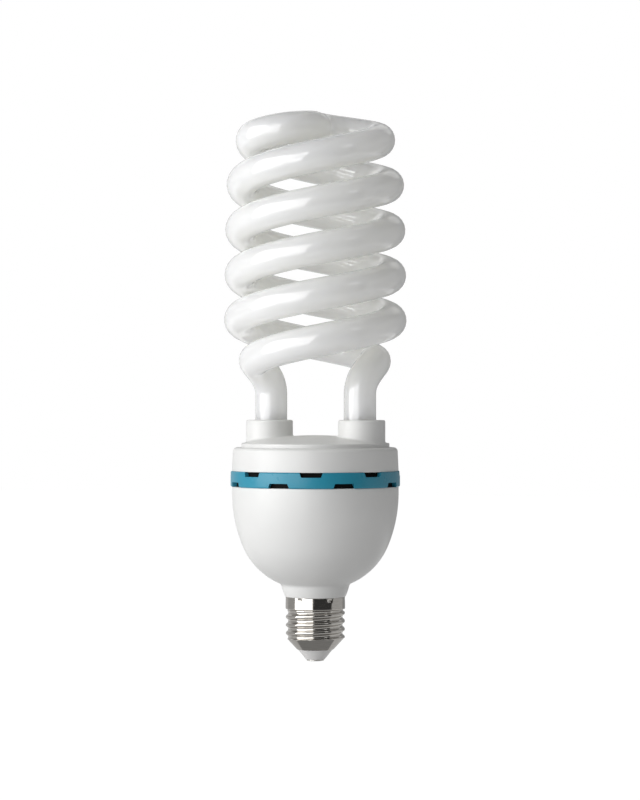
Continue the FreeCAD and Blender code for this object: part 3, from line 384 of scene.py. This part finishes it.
contact = {
    "radius": 3.9 * mm,
    "dish": 2.1 * mm,
    "grooveDepth": 0.12 * mm,
    "grooveFloor": (2.22 * mm, 2.58 * mm),
    "grooveEnd": 2.82 * mm,
    "shank": 1.2 * mm,
    "shankBore": 0.75 * mm,
    "edgeRound": 0.22 * mm,
    "steps": 96,
}


def makeContact():
    bottom, high = foot("centre_contact"), top("centre_contact")
    plate, groove = foot("cap_insulator"), bottom + contact["grooveDepth"]
    profile = [
        (0, bottom),
        (contact["dish"], bottom),
        (contact["grooveFloor"][0], groove),
        (contact["grooveFloor"][1], groove),
        (contact["grooveEnd"], bottom),
        (contact["radius"], bottom),
        (contact["radius"], plate),
        (contact["shank"], plate),
        (contact["shank"], high),
        (contact["shankBore"], high),
        (contact["shankBore"], foot("contact_solder")),
        (0, foot("contact_solder")),
    ]
    bm = spinProfile(profile, contact["steps"], closed=False)
    bevelRing(bm, contact["radius"], bottom, contact["edgeRound"])
    piece = makePiece("centre_contact_disc", bm)
    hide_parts("centre_contact")
    return piece


# Lower housing

housing = {
    "radius": 37.2 * mm,
    "wall": 1.6 * mm,
    "lowerArc": 31.3 * mm,
    "upperArc": 61.0 * mm,
    "arcTurn": 22.7,
    "straight": 3.1 * mm,
    "neckFoot": 13.4 * mm,
    "neckTop": 15.3 * mm,
    "neckArc": 20.0 * mm,
    "skirtBore": 10.0 * mm,
    "skirtOuter": 11.5 * mm,
    "skirtSeat": 12.72 * mm,
    "seatLength": 5.6 * mm,
    "bendRound": 1.0 * mm,
    "edgeRound": 0.3 * mm,
    "ribReach": 6.1 * mm,
    "ribHeight": 8.0 * mm,
    "ribThickness": 2.0 * mm,
    "ribCount": 4,
    "steps": 192,
}


def makeHousing():
    radius, wall = housing["radius"], housing["wall"]
    turn = math.radians(housing["arcTurn"])
    upper, lower = housing["upperArc"], housing["lowerArc"]
    bowlTop, bottom, seat = top("lower_housing"), foot("lower_housing"), top("screw_shell")
    straight = bowlTop - housing["straight"]
    join = (radius - upper * (1 - math.cos(turn)), straight - upper * math.sin(turn))
    lowerCentre = (join[0] - lower * math.cos(turn), join[1] + lower * math.sin(turn))
    neckReach = housing["neckTop"] - lowerCentre[0]
    bend = lowerCentre[1] - math.sqrt(lower ** 2 - neckReach ** 2)
    innerJoin = (join[0] - wall * math.cos(turn), join[1] + wall * math.sin(turn))
    boreReach = housing["skirtBore"] - lowerCentre[0]
    innerFloor = lowerCentre[1] - math.sqrt((lower - wall) ** 2 - boreReach ** 2)
    seatFoot = seat - housing["seatLength"]
    profile = [
        (housing["skirtBore"], bottom),
        (housing["skirtOuter"], bottom),
        (housing["skirtOuter"], seatFoot),
        (housing["skirtSeat"], seatFoot + housing["skirtSeat"] - housing["skirtOuter"]),
        (housing["skirtSeat"], seat),
        (housing["neckFoot"], seat),
    ]
    profile += arcBetween(profile[-1], (housing["neckTop"], bend), housing["neckArc"], 1, 10)
    profile += arcBetween(profile[-1], join, lower, 1, 34)
    profile += arcBetween(profile[-1], (radius, straight), upper, 1, 18)
    profile += [(radius, bowlTop), (radius - wall, bowlTop), (radius - wall, straight)]
    profile += arcBetween(profile[-1], innerJoin, upper - wall, -1, 12)
    profile += arcBetween(profile[-1], (housing["skirtBore"], innerFloor), lower - wall, -1, 20)
    bm = spinProfile(profile, housing["steps"])
    bevelRing(bm, housing["neckFoot"], seat, housing["edgeRound"])
    bevelRing(bm, housing["neckTop"], bend, housing["bendRound"], 4)
    bevelRing(bm, radius, bowlTop, housing["edgeRound"])
    boardFoot = foot("ballast_board")
    inner = radius - wall
    rib = [
        (inner - housing["ribReach"], boardFoot),
        (inner - housing["ribReach"] / 2, boardFoot - housing["ribHeight"]),
        (inner + wall / 8, boardFoot - housing["ribHeight"]),
        (inner + wall / 2, boardFoot),
    ]
    half = housing["ribThickness"] / 2
    for number in range(housing["ribCount"]):
        prism(bm, rib, -half, half, math.tau * number / housing["ribCount"])
    bmesh.ops.recalc_face_normals(bm, faces=bm.faces)
    piece = makePiece("lower_housing_bowl", bm)
    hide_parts("lower_housing")
    return piece


# Vent ring

ring = {
    "innerRadius": 35.6 * mm,
    "edge": 0.35 * mm,
    "slotCount": 8,
    "slotWidth": 10.2 * mm,
    "slotTaper": 0.8 * mm,
    "slotHeight": 2.1 * mm,
    "slotSpare": 2.0 * mm,  # how far a cut goes on past the band's inside
    "topSlotTurn": -72.7,
    "bottomSlotTurn": -50.2,
    "steps": 216,
    # the near-black sheet behind the slots, painted shade: its gap, thickness and steps
    "shadeSheetGap": 0.1 * mm,
    "shadeSheetThickness": 0.2 * mm,
    "shadeSheetSteps": 144,
}


def makeVentRing():
    bottom, high = foot("vent_ring"), top("vent_ring")
    outer, edge = halfWidth("vent_ring"), ring["edge"]
    profile = [
        (ring["innerRadius"], bottom),
        (outer - edge, bottom),
        (outer, bottom + edge),
        (outer, high - edge),
        (outer - edge, high),
        (ring["innerRadius"], high),
    ]
    bm = spinProfile(profile, ring["steps"])
    bevelRing(bm, outer, bottom + edge, edge / 3, 2)
    bevelRing(bm, outer, high - edge, edge / 3, 2)
    piece = makePiece("vent_ring_band", bm)
    cutter = bmesh.new()
    half, taper = ring["slotWidth"] / 2, ring["slotTaper"]
    start, end = -outer - edge, edge - ring["innerRadius"] + ring["slotSpare"]
    for number in range(ring["slotCount"]):
        for level, way, turn in ((high, -1, ring["topSlotTurn"]), (bottom, 1, ring["bottomSlotTurn"])):
            sill = level + way * ring["slotHeight"]
            outline = [(-half, level - way * edge), (half, level - way * edge), (half, level),
                       (half - taper, sill), (taper - half, sill), (-half, level)]
            angle = math.radians(turn + 90 + 360 * number / ring["slotCount"])
            prism(cutter, outline, start, end, angle)
    bmesh.ops.recalc_face_normals(cutter, faces=cutter.faces)
    carve(piece, makePiece("slotCutter", cutter))
    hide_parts("vent_ring")
    return piece


def makeSlotShade():
    # A near-black sheet behind the slots, painted shade for the dark inside of the housing: no light
    # shows through them
    bottom, high = foot("vent_ring") + ring["shadeSheetGap"], top("vent_ring") - ring["shadeSheetGap"]
    outer = ring["innerRadius"] - ring["shadeSheetGap"]
    inside = outer - ring["shadeSheetThickness"]
    profile = [(inside, bottom), (outer, bottom), (outer, high), (inside, high)]
    piece = makePiece("vent_ring_painted_shade", spinProfile(profile, ring["shadeSheetSteps"]))
    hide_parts("vent_ring")
    return piece


# Top cover with its collars

cover = {
    "radius": 37.2 * mm,
    "draft": 0.4 * mm,
    "corner": 1.8 * mm,
    "wall": 1.8 * mm,
    "height": 10.5 * mm,
    "plateRadius": 33.1 * mm,
    "plateStep": 1.9 * mm,
    "plateEdge": 0.5 * mm,
    "plateRise": 3.5 * mm,
    "bandGroove": 0.22 * mm,
    "steps": 216,
    "domeSteps": 24,
    "ceilingSteps": 16,
    "collarRadius": 10.5 * mm,
    "collarPlace": 21.9 * mm,
    "collarRound": 0.8 * mm,
    "collarSteps": 96,
    "flare": 1.0 * mm,
    "flareArc": 1.02 * mm,
    "flareStart": -0.03 * mm,  # these three are levels above the dome
    "flareRoot": -1.2 * mm,
    "boreRoot": -6.0 * mm,
    "bore": 7.42 * mm,
    "boreCut": 40 * mm,
    "edgeRound": 0.25 * mm,
}


def domeHeight(reach):
    # Level of the dome's top at this distance from the lamp's axis
    span = cover["plateRadius"] - cover["plateEdge"]
    rise = cover["plateRise"]
    arc = (span ** 2 + rise ** 2) / (2 * rise)
    plateTop = top("vent_ring") + cover["height"] + cover["plateStep"]
    return plateTop + rise - arc + math.sqrt(arc ** 2 - min(reach, span) ** 2)


def makeCollar(side):
    # One collar: a round-topped sleeve whose flared foot follows the dome
    radius, flare, high = cover["collarRadius"], cover["flare"], top("top_cover")
    profile = [
        (cover["bore"], cover["boreRoot"]),
        (radius + flare, cover["flareRoot"]),
        (radius + flare, cover["flareStart"]),
    ]
    profile += arcBetween(profile[-1], (radius, flare), cover["flareArc"], -1, 6)
    profile += [(radius, high), (cover["bore"], high)]
    place = (side * cover["collarPlace"], 0)
    bm = spinProfile(profile, cover["collarSteps"], at=place)
    limit = cover["plateRadius"] - cover["plateEdge"] / 2
    for vert in bm.verts:
        if vert.co.z < flare + hair:
            reach = math.hypot(vert.co.x, vert.co.y)
            vert.co.z += domeHeight(reach)
            if reach > limit:
                vert.co.x *= limit / reach
                vert.co.y *= limit / reach
    bevelRing(bm, radius, high, cover["collarRound"], 5, place)
    bevelRing(bm, cover["bore"], high, cover["edgeRound"], at=place)
    return makePiece("collarPart", bm)


def makeCover():
    radius, wall, corner = cover["radius"], cover["wall"], cover["corner"]
    ringTop = top("vent_ring")
    shoulder = ringTop + cover["height"]
    plateTop = shoulder + cover["plateStep"]
    plate, edge = cover["plateRadius"], cover["plateEdge"]
    span = plate - edge
    profile = [(radius, ringTop), (radius - cover["draft"], shoulder - corner)]
    profile += arcBetween(profile[-1], (radius - cover["draft"] - corner, shoulder), corner, 1, 8)
    profile += [
        (plate + 3 * cover["bandGroove"], shoulder),
        (plate + cover["bandGroove"], shoulder - cover["bandGroove"]),
        (plate, shoulder - cover["bandGroove"] / 2),
        (plate, plateTop - edge),
    ]
    profile += arcBetween(profile[-1], (span, plateTop), edge, 1, 5)
    outside = [span * step / cover["domeSteps"] for step in range(cover["domeSteps"])]
    profile += [(reach, domeHeight(reach)) for reach in reversed(outside)]
    inside = [span * step / cover["ceilingSteps"] for step in range(cover["ceilingSteps"])]
    profile += [(reach, domeHeight(reach) - wall) for reach in inside]
    profile += [(plate - wall, shoulder - wall), (radius - cover["draft"] - wall, shoulder - wall),
                (radius - wall, ringTop)]
    bm = spinProfile(profile, cover["steps"])
    bevelRing(bm, radius, ringTop, cover["edgeRound"])
    piece = makePiece("top_cover_dome", bm)
    for side in (-1, 1):
        carve(piece, makeCollar(side), "UNION")
    for side in (-1, 1):
        bore = bmesh.new()
        bmesh.ops.create_cone(bore, cap_ends=True, segments=cover["collarSteps"],
                              radius1=cover["bore"], radius2=cover["bore"], depth=cover["boreCut"])
        place = (side * tube["legOffset"], 0, top("top_cover"))
        bmesh.ops.translate(bore, verts=bore.verts, vec=place)
        carve(piece, makePiece("boreCutter", bore))
    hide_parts("top_cover")
    return piece


# Materials

noiseRange = (0.3, 0.7)  # nearly all values of a noise lie between these


def newMaterial(name):
    material = bpy.data.materials.new(name)
    material.use_nodes = True
    nodes = material.node_tree.nodes
    return material, nodes, material.node_tree.links, nodes["Principled BSDF"]


def objectNoise(nodes, links, scale, detail=3, stretch=(1, 1, 1)):
    coords = nodes.new("ShaderNodeTexCoord")
    mapping = nodes.new("ShaderNodeMapping")
    mapping.inputs["Scale"].default_value = stretch
    texture = nodes.new("ShaderNodeTexNoise")
    texture.inputs["Scale"].default_value = scale
    texture.inputs["Detail"].default_value = detail
    links.new(coords.outputs["Object"], mapping.inputs["Vector"])
    links.new(mapping.outputs["Vector"], texture.inputs["Vector"])
    return texture.outputs["Fac"]


def blendColours(nodes, links, factor, first, second, limits=noiseRange):
    ramp = nodes.new("ShaderNodeValToRGB")
    for stop, place, colour in zip(ramp.color_ramp.elements, limits, (first, second)):
        stop.position = place
        stop.color = (*colour, 1)
    links.new(factor, ramp.inputs["Fac"])
    return ramp.outputs["Color"]


def rangeOf(nodes, links, factor, low, high):
    spread = nodes.new("ShaderNodeMapRange")
    spread.inputs["From Min"].default_value = noiseRange[0]
    spread.inputs["From Max"].default_value = noiseRange[1]
    spread.inputs["To Min"].default_value = low
    spread.inputs["To Max"].default_value = high
    links.new(factor, spread.inputs["Value"])
    return spread.outputs["Result"]


def addBump(nodes, links, shader, factor, strength, distance):
    bump = nodes.new("ShaderNodeBump")
    bump.inputs["Strength"].default_value = strength
    bump.inputs["Distance"].default_value = distance
    links.new(factor, bump.inputs["Height"])
    links.new(bump.outputs["Normal"], shader.inputs["Normal"])


def plastic(name, colour, shade, roughness, grain=1400, bump=0.12, gloss=0.5):
    # Moulded plastic: two close tones, an uneven sheen and a fine spark-eroded grain
    material, nodes, links, shader = newMaterial(name)
    tone = blendColours(nodes, links, objectNoise(nodes, links, 45), colour, shade)
    links.new(tone, shader.inputs["Base Color"])
    patches = objectNoise(nodes, links, 120, 4)
    links.new(rangeOf(nodes, links, patches, roughness[0], roughness[1]), shader.inputs["Roughness"])
    shader.inputs["Specular IOR Level"].default_value = gloss
    addBump(nodes, links, shader, objectNoise(nodes, links, grain, 2), bump, 0.05 * mm)
    return material


def metal(name, colour, shade, roughness, stretch=(1, 1, 1), scale=300, bump=0.08):
    # Plated or drawn metal with fine draw lines along the stretched direction
    material, nodes, links, shader = newMaterial(name)
    lines = objectNoise(nodes, links, scale, 4, stretch)
    links.new(blendColours(nodes, links, lines, colour, shade), shader.inputs["Base Color"])
    shader.inputs["Metallic"].default_value = 1
    links.new(rangeOf(nodes, links, objectNoise(nodes, links, 260, 5), roughness[0], roughness[1]),
              shader.inputs["Roughness"])
    addBump(nodes, links, shader, lines, bump, 0.04 * mm)
    return material


glass = {
    "coating": ((0.968, 0.968, 0.905), (0.98, 0.98, 0.925)),
    "coatingRoughness": 0.55,
    "coatingGloss": 0.2,
    "glowRadius": (1, 0.98, 0.92),  # how far light spreads inside, in shares of the scale
    "glowScale": 50 * mm,
    "polish": 0.01,
    "index": 1.8,
    "rippleScale": 160,
    "ripple": 0.1,
}


def tubeGlass():
    # White coating seen through polished clear glass, whose surface ripples a little
    material, nodes, links, shader = newMaterial("coated_tube_glass")
    tone = blendColours(nodes, links, objectNoise(nodes, links, 60), *glass["coating"])
    links.new(tone, shader.inputs["Base Color"])
    shader.inputs["Roughness"].default_value = glass["coatingRoughness"]
    shader.inputs["Specular IOR Level"].default_value = glass["coatingGloss"]
    shader.inputs["Subsurface Weight"].default_value = 1
    shader.inputs["Subsurface Radius"].default_value = glass["glowRadius"]
    shader.inputs["Subsurface Scale"].default_value = glass["glowScale"]
    shader.inputs["Coat Weight"].default_value = 1
    shader.inputs["Coat Roughness"].default_value = glass["polish"]
    shader.inputs["Coat IOR"].default_value = glass["index"]
    ripples = objectNoise(nodes, links, glass["rippleScale"])
    addBump(nodes, links, shader, ripples, glass["ripple"], 0.2 * mm)
    return material


def ceramicSkin(name, colour, shade, roughness=(0.6, 0.8)):
    # Pressed or cast grains: ferrite, cement and coated rings
    material, nodes, links, shader = newMaterial(name)
    grains = objectNoise(nodes, links, 500, 6)
    links.new(blendColours(nodes, links, grains, colour, shade), shader.inputs["Base Color"])
    links.new(rangeOf(nodes, links, grains, roughness[0], roughness[1]), shader.inputs["Roughness"])
    addBump(nodes, links, shader, grains, 0.35, 0.1 * mm)
    return material


def windingWire(name, colour, shade, turns):
    # Enamelled turns laid side by side, with painted shade: the grooves between the turns take the
    # darker colour
    material, nodes, links, shader = newMaterial(name)
    coords = nodes.new("ShaderNodeTexCoord")
    bands = nodes.new("ShaderNodeTexWave")
    bands.bands_direction = "Z"
    bands.inputs["Scale"].default_value = turns
    bands.inputs["Distortion"].default_value = 0.6
    bands.inputs["Detail"].default_value = 2
    links.new(coords.outputs["Object"], bands.inputs["Vector"])
    # the low parts of the bands, the grooves between turns, get the darker colour: painted shade
    links.new(blendColours(nodes, links, bands.outputs["Fac"], shade, colour, (0.1, 0.8)),
              shader.inputs["Base Color"])
    shader.inputs["Metallic"].default_value = 0.6
    shader.inputs["Roughness"].default_value = 0.3
    addBump(nodes, links, shader, bands.outputs["Fac"], 0.8, 0.2 * mm)
    return material


def dress(piece, material):
    # Gives a piece this material alone
    piece.data.materials.clear()
    piece.data.materials.append(material)


# Light, background and camera

studio = {
    "floorDrop": 260 * mm,
    "floorSize": 9.0,
    "floorTone": (0.86, 0.86, 0.86, 1),
    "floorRoughness": 0.8,
    "floorGlow": 1.24,  # glow of the floor where the camera, metal or glass sees it
    "floorShare": 0.75,  # share of that glow, the rest takes the shadow
    "ambient": 0.36,
    "ambientTone": (0.95, 0.97, 1, 1),
    "panels": {
        # turn from the camera (left, right), lift (low, high), distance, radiance
        "near_window": ((-46, -10), (-15, 38), 1.0, 1.85),
        "side_window": ((-85, -46), (-15, 40), 1.0, 3.2),
        "right_window": ((42, 54), (24, 40), 0.85, 1.3),
        "back_window": ((150, 215), (25, 60), 1.2, 0.35),
    },
    "cards": {
        # turn from the camera (left, right), distance, heights, glow
        "dark_card": ((-10, 66), 1.0, (-0.25, 0.9), 0.05),
        "right_card": ((66, 130), 1.3, (-0.25, 0.96), 0.52),
        "back_card": ((130, 185), 1.3, (-0.25, 0.96), 0.34),
        "far_card": ((185, 230), 1.3, (-0.25, 0.96), 0.62),
        "left_card": ((230, 275), 1.3, (-0.25, 0.96), 0.46),
    },
    "roundCards": {
        # radius, height, glow
        "table_card": (0.75, -0.2, 0.6),
        "shade_card": (0.14, -0.15, 0.27),
        "ceiling_card": (1.3, 0.95, 0.24),
    },
}

view = {
    "azimuth": 20,
    "distance": 1.21,
    "height": 116.3 * mm,
    "aside": 2.1 * mm,
    "lens": 121.95,
    "sensor": 36,
    "clip": (0.05, 50),
}


def aroundCamera(turn, distance, height):
    # A place seen from the lamp at this turn from the camera's direction, positive to the right
    angle = math.radians(view["azimuth"] - 90 + turn)
    return Vector((distance * math.cos(angle), distance * math.sin(angle), height))


def lightPanel(name, turns, lifts, distance, radiance):
    # A flat soft light across these turns and lifts, seen from the lamp's middle
    turn = (turns[0] + turns[1]) / 2
    lift = math.radians((lifts[0] + lifts[1]) / 2)
    width = 2 * distance * math.tan(math.radians(turns[1] - turns[0]) / 2)
    height = 2 * distance * math.tan(math.radians(lifts[1] - lifts[0]) / 2)
    middle = (foot("screw_shell") + top("spiral_tube")) / 2
    place = aroundCamera(turn, distance * math.cos(lift), middle + distance * math.sin(lift))
    lamp = bpy.data.lights.new(name, "AREA")
    lamp.shape = "RECTANGLE"
    lamp.size, lamp.size_y = width, height
    lamp.energy = radiance * math.pi * width * height
    light = bpy.data.objects.new(name, lamp)
    bpy.context.scene.collection.objects.link(light)
    light.location = place
    light.rotation_euler = (Vector((0, 0, middle)) - place).to_track_quat("-Z", "Y").to_euler()
    light.visible_camera = False


def hideFromCamera(piece, glow):
    # Studio cards only light and reflect: the camera doesn't see them and they cast no shadow
    material, nodes, links, shader = newMaterial(piece.name)
    shader.inputs["Base Color"].default_value = (0, 0, 0, 1)
    shader.inputs["Specular IOR Level"].default_value = 0
    shader.inputs["Emission Color"].default_value = (1, 1, 1, 1)
    shader.inputs["Emission Strength"].default_value = glow
    dress(piece, material)
    piece.visible_camera = False
    piece.visible_shadow = False


def bentCard(name, turns, distance, heights, glow):
    # An upright card bent round the lamp
    bm = bmesh.new()
    start = aroundCamera(turns[0], distance, heights[0])
    low = bm.verts.new(start)
    high = bm.verts.new((start.x, start.y, heights[1]))
    edge = bm.edges.new((low, high))
    bmesh.ops.spin(bm, geom=[low, high, edge], cent=centre, axis=upAxis,
                   angle=math.radians(turns[1] - turns[0]), steps=24, use_merge=False)
    hideFromCamera(makePiece(name, bm), glow)


def roundCard(name, radius, height, glow):
    # A level card under or over the lamp
    bm = bmesh.new()
    bmesh.ops.create_circle(bm, cap_ends=True, segments=48, radius=radius)
    bmesh.ops.translate(bm, verts=bm.verts, vec=(0, 0, height))
    hideFromCamera(makePiece(name, bm), glow)


def seenPlainly(nodes, links):
    # 1 for rays from the camera, a reflection or through glass, otherwise 0
    path = nodes.new("ShaderNodeLightPath")
    seen = path.outputs["Is Camera Ray"]
    for ray in ("Is Glossy Ray", "Is Transmission Ray"):
        either = nodes.new("ShaderNodeMath")
        either.operation = "MAXIMUM"
        links.new(seen, either.inputs[0])
        links.new(path.outputs[ray], either.inputs[1])
        seen = either.outputs[0]
    return seen


def makeFloor():
    # A pale floor that keeps the lamp's shadow
    bm = bmesh.new()
    bmesh.ops.create_grid(bm, x_segments=2, y_segments=2, size=studio["floorSize"])
    bmesh.ops.translate(bm, verts=bm.verts, vec=(0, 0, -studio["floorDrop"]))
    piece = makePiece("floor", bm)
    material, nodes, links, shader = newMaterial("pale_floor")
    shader.inputs["Base Color"].default_value = studio["floorTone"]
    shader.inputs["Roughness"].default_value = studio["floorRoughness"]
    glow = nodes.new("ShaderNodeEmission")
    glow.inputs["Color"].default_value = (1, 1, 1, 1)
    glow.inputs["Strength"].default_value = studio["floorGlow"]
    share = nodes.new("ShaderNodeMath")
    share.operation = "MULTIPLY"
    share.inputs[1].default_value = studio["floorShare"]
    mix = nodes.new("ShaderNodeMixShader")
    links.new(seenPlainly(nodes, links), share.inputs[0])
    links.new(share.outputs[0], mix.inputs[0])
    links.new(shader.outputs[0], mix.inputs[1])
    links.new(glow.outputs[0], mix.inputs[2])
    links.new(mix.outputs[0], nodes["Material Output"].inputs["Surface"])
    dress(piece, material)


def makeWorld():
    # White where it is seen, a dim fill light for everything else
    world = bpy.data.worlds.new("white_room")
    bpy.context.scene.world = world
    world.use_nodes = True
    nodes, links = world.node_tree.nodes, world.node_tree.links
    room = nodes["Background"]
    room.inputs["Color"].default_value = studio["ambientTone"]
    room.inputs["Strength"].default_value = studio["ambient"]
    backdrop = nodes.new("ShaderNodeBackground")
    backdrop.inputs["Color"].default_value = (1, 1, 1, 1)
    backdrop.inputs["Strength"].default_value = 1
    mix = nodes.new("ShaderNodeMixShader")
    links.new(seenPlainly(nodes, links), mix.inputs[0])
    links.new(room.outputs[0], mix.inputs[1])
    links.new(backdrop.outputs[0], mix.inputs[2])
    links.new(mix.outputs[0], nodes["World Output"].inputs["Surface"])


def makeCamera():
    data = bpy.data.cameras.new("camera")
    data.sensor_width = view["sensor"]
    data.lens = view["lens"]
    data.clip_start, data.clip_end = view["clip"]
    camera = bpy.data.objects.new("camera", data)
    bpy.context.scene.collection.objects.link(camera)
    place = aroundCamera(0, view["distance"], view["height"])
    ahead = Vector((-place.x, -place.y, 0)).normalized()
    camera.location = place + ahead.cross(upAxis) * view["aside"]
    camera.rotation_euler = ahead.to_track_quat("-Z", "Y").to_euler()
    bpy.context.scene.camera = camera


# Putting it together

white = ((0.745, 0.745, 0.735), (0.715, 0.715, 0.705))  # the two tones of the white plastic
glassTube = makeSpiralTube()
dress(glassTube, tubeGlass())
print("tube done", len(glassTube.data.polygons))

shell = makeScrewShell()
dress(shell, metal("nickel_plate", (0.55, 0.53, 0.5), (0.49, 0.47, 0.44), (0.06, 0.16),
                   stretch=(1, 1, 9), scale=260, bump=0.05))
insulatorCone = makeInsulator()
dress(insulatorCone, plastic("insulator_moulding", (0.785, 0.775, 0.77), (0.735, 0.725, 0.72),
                             (0.15, 0.28), grain=900, bump=0.05))
contactDisc = makeContact()
dress(contactDisc, metal("tinned_contact", (0.72, 0.71, 0.68), (0.6, 0.59, 0.56), (0.2, 0.4)))
print("cap done")

bowl = makeHousing()
dress(bowl, plastic("white_housing", *white, (0.3, 0.38)))
band = makeVentRing()
dress(band, plastic("blue_ring", (0.028, 0.26, 0.375), (0.022, 0.24, 0.35), (0.26, 0.36),
                    grain=1100, bump=0.1, gloss=0.4))
# A near-black sheet behind the slots: painted shade
slotShade = makeSlotShade()
dress(slotShade, plastic("slot_painted_shade", (0.004, 0.004, 0.004), (0.009, 0.009, 0.009), (0.7, 0.9),
                     grain=3000, bump=0.6, gloss=0.1))
dome = makeCover()
dress(dome, plastic("white_cover", *white, (0.32, 0.4)))
print("housing done")

for piece in (glassTube, shell, insulatorCone, contactDisc, bowl, band, slotShade, dome):
    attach(piece, "root")

# The pieces inside the housing keep their meshes and only get their materials
insidePieces = {
    "contact_solder": metal("solder_plug", (0.55, 0.55, 0.56), (0.4, 0.4, 0.42), (0.3, 0.5)),
    "tube_cement": ceramicSkin("lamp_cement", (0.78, 0.76, 0.7), (0.66, 0.63, 0.56)),
    "ballast_board": plastic("paper_laminate", (0.6, 0.44, 0.22), (0.5, 0.35, 0.16), (0.45, 0.6),
                             grain=700, bump=0.2),
    "wire_posts": metal("tinned_posts", (0.74, 0.74, 0.73), (0.6, 0.6, 0.6), (0.25, 0.4)),
    "filament_leads": metal("nickel_wire", (0.66, 0.65, 0.62), (0.5, 0.49, 0.46), (0.3, 0.45)),
    "electrolytic_capacitor": plastic("capacitor_sleeve", (0.02, 0.035, 0.08), (0.03, 0.05, 0.1),
                                      (0.15, 0.25)),
    "choke_core": ceramicSkin("choke_ferrite", (0.06, 0.06, 0.065), (0.1, 0.1, 0.105), (0.45, 0.6)),
    "choke_bobbin": plastic("bobbin_moulding", (0.05, 0.05, 0.05), (0.07, 0.07, 0.07), (0.4, 0.5)),
    "choke_winding": windingWire("choke_copper", (0.72, 0.32, 0.12), (0.3, 0.1, 0.03), 900),
    "power_transistors": plastic("transistor_epoxy", (0.02, 0.02, 0.022), (0.035, 0.035, 0.04),
                                 (0.5, 0.65)),
    "resonant_capacitor": plastic("red_dip", (0.4, 0.03, 0.02), (0.3, 0.02, 0.015), (0.2, 0.35)),
    "filter_capacitor": plastic("yellow_case", (0.7, 0.45, 0.05), (0.6, 0.38, 0.04), (0.25, 0.4)),
    "start_capacitor": plastic("blue_dip", (0.03, 0.12, 0.4), (0.02, 0.09, 0.3), (0.2, 0.35)),
    "thermistor": plastic("green_dip", (0.05, 0.18, 0.08), (0.04, 0.13, 0.06), (0.4, 0.55)),
    "drive_toroid": ceramicSkin("coated_toroid", (0.06, 0.22, 0.1), (0.04, 0.16, 0.07), (0.3, 0.45)),
    "drive_windings": windingWire("drive_wire", (0.75, 0.58, 0.08), (0.4, 0.28, 0.03), 1200),
    "filter_choke": plastic("choke_sleeve", (0.02, 0.02, 0.02), (0.035, 0.035, 0.035), (0.2, 0.3)),
    "rectifier_diodes": plastic("diode_epoxy", (0.025, 0.025, 0.025), (0.04, 0.04, 0.04), (0.4, 0.5)),
    "board_resistors": plastic("resistor_lacquer", (0.55, 0.42, 0.22), (0.45, 0.33, 0.17), (0.3, 0.4)),
    "fuse_resistor": ceramicSkin("fuse_cement", (0.25, 0.36, 0.25), (0.18, 0.27, 0.18)),
    "live_wire": plastic("red_insulation", (0.45, 0.02, 0.015), (0.36, 0.015, 0.01), (0.3, 0.4)),
    "neutral_wire": plastic("black_insulation", (0.02, 0.02, 0.025), (0.03, 0.03, 0.035), (0.3, 0.4)),
}
for node, material in insidePieces.items():
    dress(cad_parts[node], material)
print("inner parts dressed")

makeWorld()
makeFloor()
for name, panel in studio["panels"].items():
    lightPanel(name, *panel)
for name, spread in studio["cards"].items():
    bentCard(name, *spread)
for name, spread in studio["roundCards"].items():
    roundCard(name, *spread)
makeCamera()
bpy.context.scene.view_settings.view_transform = "Standard"
print("studio done")
